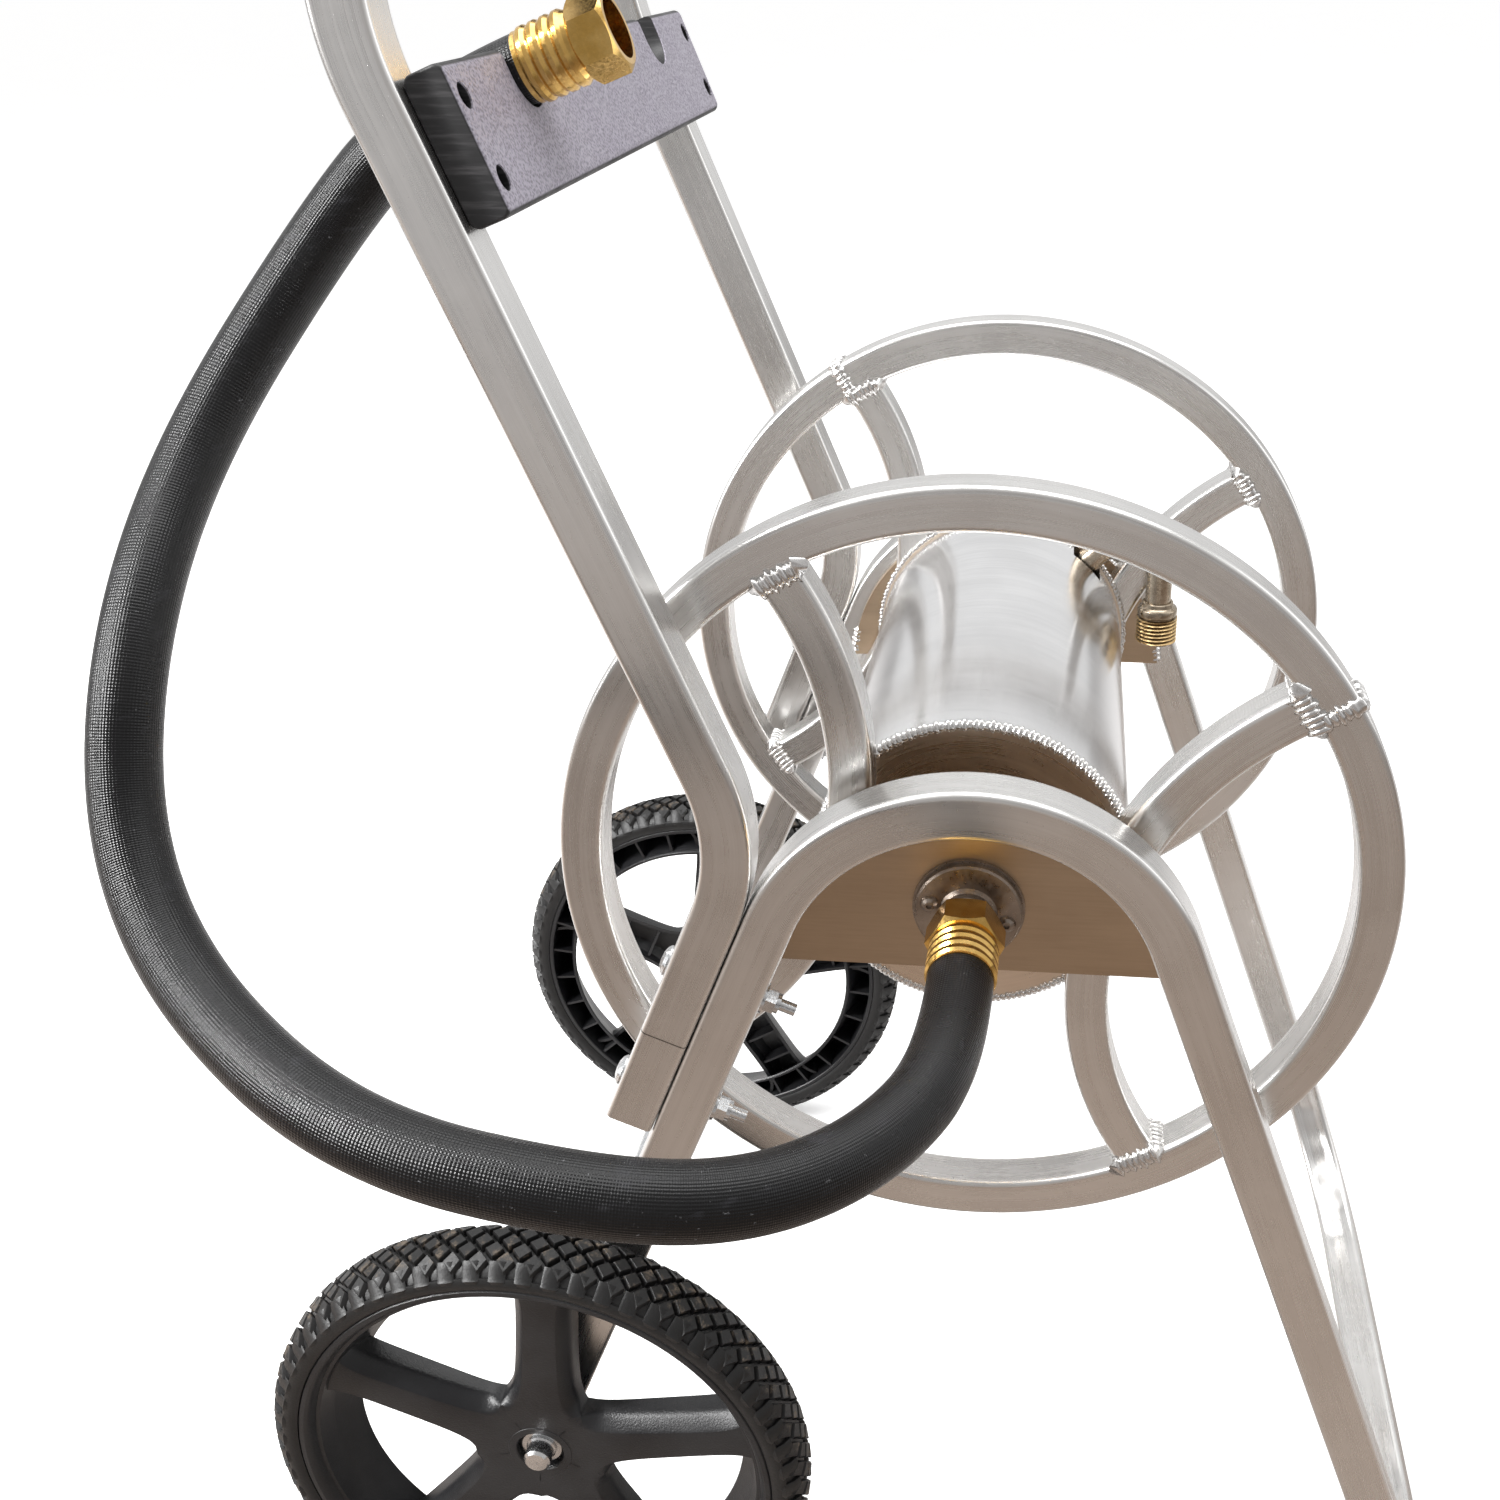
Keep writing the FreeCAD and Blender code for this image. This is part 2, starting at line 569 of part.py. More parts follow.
def axle_hardware():
    """Washers each side of the hubs and push-on caps over the axle's ends."""
    washers, caps = [], []
    for side in (-1, 1):
        for y, t, r in ((FRAME_OUT + 0.05, 2.4, 15.0), (HUB_FACE - 4.9, 1.6, 11.5)):
            start = V(AXLE.x, side * y, AXLE.z)
            washers.append(ring(r, AXLE_R, start, Y * side, t))
        start = V(AXLE.x, side * (HUB_FACE - 3.2), AXLE.z)
        outline = [(0, AXLE_R), (0, 8.6), (1.2, 8.6), (2.0, 7.6), (9.5, 7.6), (11.0, 6.2), (11.4, 0),
                   (7.2, 0), (7.2, AXLE_R)]
        caps.append(turned(outline, start, Y * side))
    return Part.makeCompound(washers), Part.makeCompound(caps)


# ---- crank --------------------------------------------------------------------------------------
def crank_arm():
    bar = Part.makeBox(CRANK_REACH, 6, 26, V(0, CRANK_Y, -13))
    bar = bar.fuse(cyl(15, V(0, CRANK_Y, 0), Y, 6)).fuse(cyl(13, V(CRANK_REACH, CRANK_Y, 0), Y, 6))
    bar = bar.removeSplitter().cut(cyl(SHAFT_R, V(0, CRANK_Y - 1, 0), Y, 8))
    bar = bar.cut(cyl(SPINDLE_R, V(CRANK_REACH, CRANK_Y - 1, 0), Y, 8))
    bar.rotate(V(0, 0, 0), Y, -CRANK_ANGLE)
    return bar


def crank_spindle():
    """Shoulder bolt that carries the grip, with its head at the outer end."""
    tip = polar(CRANK_REACH, CRANK_ANGLE)
    start = tip + Y * CRANK_Y
    pin = cyl(SPINDLE_R, start, Y, GRIP_LEN + 7.5)
    head = turned([(0, 0), (0, 8.0), (2.5, 8.0), (4.5, 5.5), (4.8, 0)], start + Y * (GRIP_LEN + 7.5), Y)
    return pin.fuse(head)


def crank_grip():
    tip = polar(CRANK_REACH, CRANK_ANGLE)
    outline = [(0, SPINDLE_R + RUN), (0, 11), (2, 13), (20, 14.5), (46, 13), (72, 14.5),
               (GRIP_LEN - 3, 13.5), (GRIP_LEN, 11), (GRIP_LEN, SPINDLE_R + RUN)]
    return turned(outline, tip + Y * (CRANK_Y + 6.7), Y)


def crank_collar():
    """Set collar that keeps the arm on the shaft."""
    return ring(14, SHAFT_R, V(0, FRAME_IN + 8.2, 0), Y, CRANK_Y - FRAME_IN - 8.4)


# ---- leader hose --------------------------------------------------------------------------------
def leader_hose():
    points = [V(*p) for p in HOSE_ROUTE]
    radii = soft_radii(points)
    print("hose bend radii:", [round(r) for r in radii])
    ahead = (points[1] - points[0]).normalize()
    tube = sweep(round_section(points[0], ahead, HOSE_R), points, radii)
    length = 0.0
    for i, (a, b) in enumerate(zip(points, points[1:])):
        length += (b - a).Length
    for (a, b, c), r in zip(zip(points, points[1:], points[2:]), radii):
        turn = (b - a).getAngle(c - b)
        length += r * turn - 2 * r * math.tan(turn / 2)
    print("hose length %.0f, volume / (section x length) %.4f" % (
        length, tube.Volume / (math.pi * HOSE_R ** 2 * length)))
    return tube


def ferrule(start, axis, length):
    """Crimped brass sleeve over the hose's end, with four rolled ridges."""
    outline = [(0, 10.5), (0, HOSE_R + 0.4)]
    ridges = 4
    pitch = (length - 4) / ridges
    for i in range(ridges):
        d = 2 + i * pitch
        outline += [(d, HOSE_R + 0.2), (d + pitch * 0.25, HOSE_R + 1.3), (d + pitch * 0.6, HOSE_R + 1.3),
                    (d + pitch * 0.9, HOSE_R + 0.2)]
    outline += [(length, HOSE_R - 0.8), (length, 10.5)]
    return turned(outline, start, axis)


FERRULE_LEN = 27.0
NUT_LEN = 18.0


def coupling_nut(start, axis, flat_dir, bore):
    """Hexagonal swivel nut with its edges turned off, threaded inside."""
    nut = hexagon(start, axis, flat_dir, HEX_AF, NUT_LEN)
    corner, flat = HEX_AF / math.sqrt(3), HEX_AF / 2 - 0.6
    skin = turned([(0, 0), (0, flat), (2.2, corner), (NUT_LEN - 2.2, corner), (NUT_LEN, flat),
                   (NUT_LEN, 0)], start, axis)
    nut = nut.common(skin)
    return nut.cut(cyl(bore, start - axis, axis, NUT_LEN + 2))


def couplings():
    """Ferrule and nut at both ends of the hose."""
    inlet_end = V(*HOSE_ROUTE[0])
    inlet = ferrule(inlet_end, Y, FERRULE_LEN)
    inlet_nut = coupling_nut(inlet_end + Y * FERRULE_LEN, Y, Z, 11.8)
    free_end = V(*HOSE_ROUTE[-1])
    free_dir = (free_end - V(*HOSE_ROUTE[-2])).normalize()
    free = ferrule(free_end, free_dir, FERRULE_LEN)
    free_nut = coupling_nut(free_end + free_dir * FERRULE_LEN, free_dir, Y, 13.4)
    return inlet, inlet_nut, free, free_nut


# ---- write every sub-part -----------------------------------------------------------------------
os.makedirs("parts", exist_ok=True)

save_pair("rim", rim())
for place, aim in (("rear", SPOKE_AIM), ("front", SPOKE_AIM - 180)):
    save_pair("reel_spoke_" + place, reel_spoke(aim))
save("drum", drum())
save("drum_end_right", drum_end(PIPE_R))
save("drum_end_left", drum_end(SHAFT_R).mirror(V(0, 0, 0), Y))
save("water_pipe", water_pipe())
save("outlet_fitting", outlet_fitting())
save("reel_shaft", reel_shaft())

save_pair("side_frame", side_frame())
save("foot_bar", foot_bar())
save("hub_plate_right", hub_plate(BOSS_R + 0.3, SCREW_RING, SCREW_TURN, 2.6))
far_plate = hub_plate(BOSS_R + 0.3, FAR_SCREW_RING, FAR_SCREW_TURN, 2.1)
save("hub_plate_left", far_plate.mirror(V(0, 0, 0), Y))
save("swivel_flange", swivel_flange())
save("flange_screws", flange_screws())
save("far_bearing", far_bearing())
save("bearing_screws", bearing_screws())

save("handle_tube", handle_tube())
save("handle_grip", handle_grip())
for fastener, shape in zip(("handle_bolts", "handle_washers", "handle_nuts"), handle_fasteners()):
    save(fastener, shape)
save("hose_block", hose_block())
save("block_screws", block_screws())

save_pair("wheel", wheel_centre())
save_pair("tyre", tyre())
save("axle", axle())
for fitting, shape in zip(("axle_washers", "axle_caps"), axle_hardware()):
    save(fitting, shape)

save("crank_arm", crank_arm())
save("crank_spindle", crank_spindle())
save("crank_grip", crank_grip())
save("crank_collar", crank_collar())

save("leader_hose", leader_hose())
for fitting, shape in zip(("inlet_ferrule", "inlet_nut", "free_ferrule", "free_nut"), couplings()):
    save(fitting, shape)
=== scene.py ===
"""Looks of the garden hose reel cart: camera, leader hose, materials, light and the fine detail.

Metres, in the CAD frame. Positions are worked out from the reel's centre, REEL.
"""
import bmesh
import bpy
import math
from mathutils import Matrix, Vector


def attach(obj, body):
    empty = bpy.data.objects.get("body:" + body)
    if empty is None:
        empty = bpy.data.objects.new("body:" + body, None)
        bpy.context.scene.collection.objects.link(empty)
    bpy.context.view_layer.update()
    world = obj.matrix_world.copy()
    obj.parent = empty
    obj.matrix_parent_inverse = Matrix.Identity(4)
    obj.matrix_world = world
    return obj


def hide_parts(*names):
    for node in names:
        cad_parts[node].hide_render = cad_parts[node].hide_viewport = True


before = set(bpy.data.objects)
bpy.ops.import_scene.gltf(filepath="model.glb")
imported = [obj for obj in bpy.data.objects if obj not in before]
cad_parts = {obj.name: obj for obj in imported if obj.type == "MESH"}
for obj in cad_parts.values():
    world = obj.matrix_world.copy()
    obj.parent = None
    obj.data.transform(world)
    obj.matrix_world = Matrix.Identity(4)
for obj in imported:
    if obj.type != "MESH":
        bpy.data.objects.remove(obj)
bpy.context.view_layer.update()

REEL = Vector((0.0525, -0.0349, 0.499))          # reel centre
RIM_R, REEL_TUBE, REEL_HALF = 0.2103, 0.0222, 0.1776
DRUM_R = 0.080
SPOKE_AIM = 166.5                                # the rear spokes' direction, degrees above +X
SPOKE_CENTRE, SPOKE_BEND_R, SPOKE_SPAN = 0.2553, 0.1886, 48.2    # a spoke's arc; half its angle
FRAME_TUBE, FRAME_Y = 0.025, 0.2051
ARCH, ARCH_R = REEL + Vector((0.0015, 0, -0.041)), 0.1051
FRONT_LEAN, REAR_LEAN, HANDLE_LEAN = 19.7, 22.4, 21.3
AXLE = REEL + Vector((-0.2372711, 0, -0.3445))
WHEEL_R, WHEEL_OUT, TYRE_W, SEAT_R = 0.1545, 0.2625, 0.041, 0.136
FOOT_BEND_R = 0.103
FRAME_WALL = 0.0024
KNEE_R, CROWN_R, CORNER_R = 0.105, 0.130, 0.075  # the handle's bends, from below
Y_AXIS = Vector((0, 1, 0))
SIDES = (("right", -1), ("left", 1))
QUARTERS = ((1, 0), (0, 1), (-1, 0), (0, -1))


# ---- camera -------------------------------------------------------------------------------------
camera = bpy.data.objects.new("camera", bpy.data.cameras.new("camera"))
bpy.context.scene.collection.objects.link(camera)
side = Vector((0.99350081, 0.11285594, -0.01482171))
upward = Vector((-0.0355342, 0.43121982, 0.90154689))
back = Vector((0.10813634, -0.89516088, 0.43242749))
camera.matrix_world = Matrix((
    (side.x, upward.x, back.x, 0.09144),
    (side.y, upward.y, back.y, -0.90528),
    (side.z, upward.z, back.z, 0.93538),
    (0, 0, 0, 1)))
camera.data.sensor_width = 36
camera.data.lens = 39.10
camera.data.shift_x = -0.0857
camera.data.shift_y = -0.0306
camera.data.clip_start = 0.02
bpy.context.scene.camera = camera
bpy.context.scene.view_settings.view_transform = "Standard"


# ---- leader hose --------------------------------------------------------------------------------
HOSE_ROUTE = [
    (0.0525, -0.2899, 0.499), (0.0525, -0.3489, 0.499), (0.0295, -0.4029, 0.499),
    (-0.0125, -0.4419, 0.502), (-0.0695, -0.4579, 0.511), (-0.1725, -0.4430, 0.518),
    (-0.2625, -0.3850, 0.540), (-0.3025, -0.3439, 0.590), (-0.3035, -0.3059, 0.665),
    (-0.3045, -0.2239, 0.725), (-0.2525, -0.1639, 0.811), (-0.2055, -0.1559, 0.859),
    (-0.1505, -0.1559, 0.880),
]
curve = bpy.data.curves.new("leader_hose_line", "CURVE")
curve.dimensions = "3D"
curve.bevel_depth = 1.0                          # times each point's radius
curve.bevel_resolution = 12
curve.resolution_u = 24
curve.use_fill_caps = True
line = curve.splines.new("NURBS")
line.points.add(len(HOSE_ROUTE) - 1)
for point, place in zip(line.points, HOSE_ROUTE):
    point.co = (*place, 1)
    point.radius = 0.0155
line.order_u = 3
line.use_endpoint_u = True
hose = bpy.data.objects.new("hose", curve)
bpy.context.scene.collection.objects.link(hose)
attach(hose, "frame")
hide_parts("leader_hose")


# ---- shader node helpers ------------------------------------------------------------------------
def rgba(sockets):
    return [s for s in sockets if s.type == "RGBA"]


class Finish:
    """A material being put together; sockets go in and come out of its methods."""

    def __init__(self, name, **fixed):
        self.material = bpy.data.materials.new(name)
        self.material.use_nodes = True
        self.tree = self.material.node_tree
        self.shader = self.tree.nodes["Principled BSDF"]
        for key, value in fixed.items():
            self.shader.inputs[key.replace("_", " ")].default_value = value
        self.place = self.add("TexCoord").outputs["Object"]

    def add(self, kind, inputs=(), **settings):
        made = self.tree.nodes.new("ShaderNode" + kind)
        for key, value in settings.items():
            setattr(made, key, value)
        for key, value in dict(inputs).items():
            if isinstance(value, bpy.types.NodeSocket):
                self.tree.links.new(value, made.inputs[key])
            else:
                made.inputs[key].default_value = value
        return made

    def calc(self, operation, *values):
        return self.add("Math", dict(enumerate(values)), operation=operation).outputs[0]

    def vector(self, operation, *values):
        made = self.add("VectorMath", dict(enumerate(values)), operation=operation)
        return made.outputs["Value" if operation in ("DOT_PRODUCT", "LENGTH") else "Vector"]

    def join(self, x=0.0, y=0.0, z=0.0):
        return self.add("CombineXYZ", {0: x, 1: y, 2: z}).outputs[0]

    def split(self, vector):
        return self.add("SeparateXYZ", {0: vector}).outputs

    def noise(self, vector, scale, detail=2.0, rough=0.5, distortion=0.0):
        return self.add("TexNoise", {"Vector": vector, "Scale": scale, "Detail": detail,
                                     "Roughness": rough, "Distortion": distortion}).outputs[0]

    def remap(self, value, low, high, to_low=0.0, to_high=1.0):
        made = self.add("MapRange", {"Value": value, "From Min": low, "From Max": high,
                                     "To Min": to_low, "To Max": to_high})
        made.interpolation_type = "SMOOTHSTEP"
        return made.outputs[0]

    def mix(self, amount, first, second):
        made = self.add("Mix", data_type="RGBA")
        for socket, value in zip((made.inputs[0], *rgba(made.inputs)), (amount, first, second)):
            if isinstance(value, bpy.types.NodeSocket):
                self.tree.links.new(value, socket)
            elif socket.type == "RGBA":
                socket.default_value = (*value, 1)
            else:
                socket.default_value = value
        return rgba(made.outputs)[0]

    def bump(self, height, distance, strength=1.0, under=None):
        inputs = {"Height": height, "Distance": distance, "Strength": strength}
        if under:
            inputs["Normal"] = under
        return self.add("Bump", inputs).outputs[0]

    def finish(self, color=None, roughness=None, normal=None):
        for key, value in (("Base Color", color), ("Roughness", roughness), ("Normal", normal)):
            if value:
                self.tree.links.new(value, self.shader.inputs[key])
        return self.material

    def from_point(self, centre):
        """The place on the object, measured from a point in the frame."""
        return self.vector("SUBTRACT", self.place, tuple(centre))

    def around_reel(self):
        """(radius, across, slow change along) of a part turned about the reel's axis."""
        p = self.split(self.from_point(REEL))
        radius = self.calc("SQRT", self.calc("ADD", self.calc("MULTIPLY", p[0], p[0]),
                                           self.calc("MULTIPLY", p[2], p[2])))
        return self.join(radius, p[1], self.calc("MULTIPLY", self.calc("ADD", p[0], p[2]), 0.02))


def drawn_metal(finish, lines_at, tint, dull, line_scale=1500.0, depth=0.000007):
    """Drawn or rolled metal: fine lines, cloudy tone and a few scratches."""
    lines = finish.noise(lines_at, line_scale, 3.0, 0.6)
    broad = finish.noise(lines_at, line_scale / 9, 2.0, 0.5)
    cloud = finish.noise(finish.place, 22.0, 3.0, 0.55)
    crossing = finish.vector("MULTIPLY", finish.place, (900.0, 140.0, 300.0))
    scratch = finish.remap(finish.noise(crossing, 1.0, 2.0, 0.55, 0.4), 0.70, 0.76)
    tone = finish.calc("ADD", finish.calc("MULTIPLY", lines, 0.35),
                      finish.calc("ADD", finish.calc("MULTIPLY", broad, 0.3),
                                 finish.calc("MULTIPLY", cloud, 0.35)))
    color = finish.mix(finish.remap(tone, 0.35, 0.65), tuple(c * 0.92 for c in tint),
                       tuple(min(1.0, c * 1.04) for c in tint))
    rough = finish.calc("ADD", finish.remap(tone, 0.3, 0.7, dull - 0.04, dull + 0.06),
                       finish.calc("MULTIPLY", scratch, -0.08))
    normal = finish.bump(finish.calc("ADD", lines, finish.calc("MULTIPLY", broad, 1.5)), depth)
    normal = finish.bump(scratch, 0.00003, 0.6, normal)
    return color, rough, normal


def give(material, *nodes):
    """Assign a material to CAD nodes."""
    for name in nodes:
        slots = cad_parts[name].data.materials
        if not len(slots):
            slots.append(material)
        for i in range(len(slots)):
            slots[i] = material


# ---- aluminium ----------------------------------------------------------------------------------
TUBE_TINT = (0.80, 0.79, 0.775)


def tube_metal(name, size, ticks=False, scribed=None):
    """Drawn tube with lines along the mapping's u, rolled ticks on the outer face, a scribed line."""
    f = Finish(name, Metallic=1.0)
    u, v, _ = f.split(f.add("TexCoord").outputs["UV"])
    lines_at = f.join(f.calc("MULTIPLY", u, 0.008), v, 0.0)
    color, rough, normal = drawn_metal(f, lines_at, TUBE_TINT, 0.27)
    smear = f.noise(f.join(f.calc("MULTIPLY", u, 9.0), f.calc("MULTIPLY", v, 60.0), 0.0), 1.0, 2.0, 0.5)
    normal = f.bump(smear, 0.0004, 0.35, normal)
    stain = f.noise(f.join(f.calc("MULTIPLY", u, 7.0), f.calc("MULTIPLY", v, 120.0), 0.0), 1.0, 4.0, 0.6)
    color = f.mix(f.remap(stain, 0.50, 0.75, 0.0, 0.22), color, (0.60, 0.57, 0.54))
    if scribed:
        line = f.remap(f.calc("ABSOLUTE", f.calc("SUBTRACT", u, scribed)), 0.0005, 0.0002)
        color = f.mix(line, color, (0.12, 0.115, 0.11))
    if ticks:
        wave = f.calc("SINE", f.calc("MULTIPLY", u, 2 * math.pi / 0.0016))
        face = f.calc("LESS_THAN", f.calc("ABSOLUTE", f.calc("SUBTRACT", v, size * 0.5)), size * 0.40)
        patch = f.remap(f.noise(f.join(f.calc("MULTIPLY", u, 30.0), f.calc("MULTIPLY", v, 200.0), 0.0),
                                1.0, 2.0, 0.5), 0.35, 0.6)
        mark = f.calc("MULTIPLY", f.calc("MULTIPLY", wave, face), patch)
        normal = f.bump(mark, 0.00005, 0.8, normal)
    return f.finish(color, rough, normal)


FRAME_METAL = tube_metal("drawn_frame_tube", FRAME_TUBE)
HANDLE_METAL = tube_metal("drawn_handle_tube", FRAME_TUBE, scribed=0.060)
REEL_METAL = tube_metal("drawn_reel_tube", REEL_TUBE, True)

f = Finish("rolled_sheet", Metallic=1.0)
lines_at = f.vector("MULTIPLY", f.place, (0.05, 1.0, 1.0))
SHEET_METAL = f.finish(*drawn_metal(f, lines_at, (0.52, 0.40, 0.285), 0.36, 900.0, 0.000006))
give(SHEET_METAL, "hub_plate_right", "hub_plate_left", "crank_arm")
# Painted reflection: the drum ends are the hub plates' sheet with a lighter tint, which paints the bright
# reflection seen on them deep in the reel; the spun lines are the sheet's own.
f = Finish("spun_sheet_painted_reflection", Metallic=1.0)
END_PAINTED_REFLECTION_METAL = f.finish(*drawn_metal(f, f.around_reel(), (0.84, 0.72, 0.60), 0.28, 700.0, 0.000004))
give(END_PAINTED_REFLECTION_METAL, "drum_end_right", "drum_end_left")

f = Finish("polished_drum", Metallic=1.0)
lines_at = f.around_reel()
color, rough, normal = drawn_metal(f, lines_at, (0.90, 0.90, 0.905), 0.17, 500.0, 0.000006)
wave = f.noise(f.vector("MULTIPLY", f.place, (9.0, 3.0, 9.0)), 1.0, 2.0, 0.5)
normal = f.bump(wave, 0.004, 0.5, normal)
DRUM_METAL = f.finish(color, rough, normal)
give(DRUM_METAL, "drum")

f = Finish("weld_metal", Metallic=1.0)
grain = f.noise(f.place, 900.0, 3.0, 0.6)
WELD_METAL = f.finish(f.mix(f.noise(f.place, 130.0, 2.0), (0.62, 0.61, 0.60), (0.86, 0.85, 0.84)),
                      f.remap(grain, 0.3, 0.7, 0.16, 0.30), f.bump(grain, 0.00006, 0.6))


# ---- other metals -------------------------------------------------------------------------------
def cast_metal(name, dark, light, dull, grain_scale=420.0, depth=0.00004):
    """Cast, plated or blackened metal: cloudy tone and a fine grain."""
    f = Finish(name, Metallic=1.0)
    cloud = f.noise(f.place, 60.0, 4.0, 0.6)
    grain = f.noise(f.place, grain_scale, 3.0, 0.6)
    color = f.mix(f.remap(cloud, 0.3, 0.7), dark, light)
    rough = f.remap(grain, 0.3, 0.7, dull - 0.06, dull + 0.08)
    return f.finish(color, rough, f.bump(grain, depth, 0.6))


BRONZE = cast_metal("dark_bronze", (0.27, 0.225, 0.19), (0.42, 0.36, 0.31), 0.32, 420.0, 0.00002)
ZINC = cast_metal("bright_zinc", (0.60, 0.61, 0.62), (0.80, 0.81, 0.82), 0.24, 900.0, 0.00002)
BRASS = cast_metal("polished_brass", (0.60, 0.36, 0.09), (0.82, 0.54, 0.19), 0.19, 700.0, 0.00002)
give(BRONZE, "swivel_flange", "flange_screws")
give(cast_metal("pipe_bronze", (0.40, 0.33, 0.25), (0.58, 0.50, 0.40), 0.26, 420.0, 0.00001), "water_pipe")
give(ZINC, "bearing_screws", "handle_bolts", "handle_washers", "handle_nuts", "axle",
     "axle_washers", "axle_caps", "reel_shaft", "crank_spindle", "crank_collar")
give(BRASS, "inlet_ferrule", "inlet_nut", "free_ferrule", "free_nut", "outlet_fitting")
BLACK_SCREW = cast_metal("black_oxide", (0.02, 0.02, 0.022), (0.05, 0.05, 0.052), 0.38)
give(BLACK_SCREW, "block_screws")


# ---- plastics and rubber ------------------------------------------------------------------------
def moulded(name, dark, light, dull, grain_scale, depth):
    """Black moulded or foamed plastic: cloudy sheen and a fine grain."""
    f = Finish(name)
    f.shader.inputs["Specular IOR Level"].default_value = 0.42
    cloud = f.noise(f.place, 18.0, 4.0, 0.6)
    grain = f.noise(f.place, grain_scale, 3.0, 0.6)
    color = f.mix(f.remap(cloud, 0.3, 0.7), dark, light)
    rough = f.remap(cloud, 0.3, 0.7, dull - 0.06, dull + 0.07)
    return f.finish(color, rough, f.bump(grain, depth, 0.8))


PLASTIC = moulded("wheel_plastic", (0.007, 0.007, 0.008), (0.014, 0.014, 0.015), 0.34, 900.0, 0.00022)
FOAM = moulded("foam_grip", (0.010, 0.010, 0.010), (0.020, 0.020, 0.020), 0.75, 500.0, 0.0004)
give(PLASTIC, "wheel_right", "wheel_left", "far_bearing")
give(FOAM, "handle_grip", "crank_grip")

f = Finish("holder_plastic")
lean = math.radians(HANDLE_LEAN)
front_at = f.vector("DOT_PRODUCT", f.from_point(REEL), (math.cos(lean), 0.0, math.sin(lean)))
front = f.remap(front_at, -0.0548, -0.0541)
pebble = f.add("TexVoronoi", {"Vector": f.place, "Scale": 620.0, "Randomness": 1.0}).outputs["Distance"]
grain = f.noise(f.place, 700.0, 3.0, 0.6)
streak = f.noise(f.vector("MULTIPLY", f.place, (30.0, 400.0, 400.0)), 1.0, 3.0, 0.6)
cloud = f.noise(f.place, 30.0, 3.0, 0.6)
speck = f.remap(f.calc("ADD", f.calc("MULTIPLY", pebble, 0.6), f.calc("MULTIPLY", grain, 0.6)), 0.35, 0.75)
front_color = f.mix(speck, (0.150, 0.136, 0.165), (0.300, 0.280, 0.330))
side_color = f.mix(f.remap(streak, 0.45, 0.75), (0.010, 0.010, 0.011), (0.040, 0.038, 0.040))
color = f.mix(front, side_color, front_color)
rough = f.remap(cloud, 0.3, 0.7, 0.42, 0.60)
height = f.calc("ADD", f.calc("MULTIPLY", f.calc("MULTIPLY", pebble, front), -1.0),
               f.calc("MULTIPLY", streak, 0.25))
BLOCK_PLASTIC = f.finish(color, rough, f.bump(height, 0.0005, 0.7))
give(BLOCK_PLASTIC, "hose_block")

HOSE_LENGTH = 0.948
WEAVE_PITCH, WEAVE_ROUND = 0.0026, 36.0          # the imprint's pitch along, and its count round, the hose
f = Finish("hose_rubber")
f.shader.inputs["Specular IOR Level"].default_value = 0.36
uv = f.split(f.add("TexCoord").outputs["UV"])
along = f.calc("MULTIPLY", uv[0], HOSE_LENGTH / WEAVE_PITCH)
round_it = f.calc("MULTIPLY", uv[1], WEAVE_ROUND)
weave = f.calc("MULTIPLY",
              f.calc("SINE", f.calc("MULTIPLY", f.calc("ADD", along, round_it), 2 * math.pi)),
              f.calc("SINE", f.calc("MULTIPLY", f.calc("SUBTRACT", along, round_it), 2 * math.pi)))
cloud = f.noise(f.place, 40.0, 4.0, 0.6)
grain = f.noise(f.place, 900.0, 3.0, 0.6)
scuff = f.remap(f.noise(f.vector("MULTIPLY", f.place, (60.0, 60.0, 200.0)), 1.0, 4.0, 0.65), 0.56, 0.72)
color = f.mix(scuff, (0.0022, 0.0022, 0.0026), (0.009, 0.009, 0.011))
rough = f.calc("ADD", f.remap(cloud, 0.3, 0.7, 0.24, 0.32), f.calc("MULTIPLY", scuff, 0.10))
speck = f.remap(f.noise(f.vector("MULTIPLY", f.place, (260.0, 260.0, 420.0)), 1.0, 3.0, 0.7), 0.68, 0.76)
color = f.mix(speck, color, (0.10, 0.10, 0.105))
normal = f.bump(f.calc("ADD", f.calc("MULTIPLY", weave, 0.9), grain), 0.00016, 0.7)
hose.data.materials.append(f.finish(color, rough, normal))

f = Finish("tyre_rubber")
f.shader.inputs["Specular IOR Level"].default_value = 0.36
p = f.vector("MULTIPLY", f.from_point(AXLE), (1, 0, 1))
radius = f.vector("LENGTH", p)
worn = f.remap(radius, WHEEL_R - 0.0030, WHEEL_R - 0.0016)
patch = f.remap(f.noise(f.place, 90.0, 4.0, 0.7), 0.50, 0.68)
fine = f.noise(f.place, 700.0, 3.0, 0.65)
dust = f.calc("MULTIPLY", f.calc("MULTIPLY", worn, patch), f.remap(fine, 0.35, 0.6))
base = f.mix(f.noise(f.place, 50.0, 3.0, 0.6), (0.006, 0.006, 0.006), (0.013, 0.0125, 0.0125))
color = f.mix(dust, base, (0.130, 0.100, 0.072))
rough = f.calc("ADD", f.remap(fine, 0.3, 0.7, 0.36, 0.48), f.calc("MULTIPLY", dust, 0.3))
TYRE = f.finish(color, rough, f.bump(fine, 0.00018, 0.7))


# ---- mesh helpers -------------------------------------------------------------------------------
def new_piece(name, mesh, material, body, slot, *replaced):
    made = bpy.data.objects.new(name, mesh)
    bpy.context.scene.collection.objects.link(made)
    mesh.materials.append(material)
    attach(made, body)
    if replaced:
        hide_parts(*replaced)
    return made


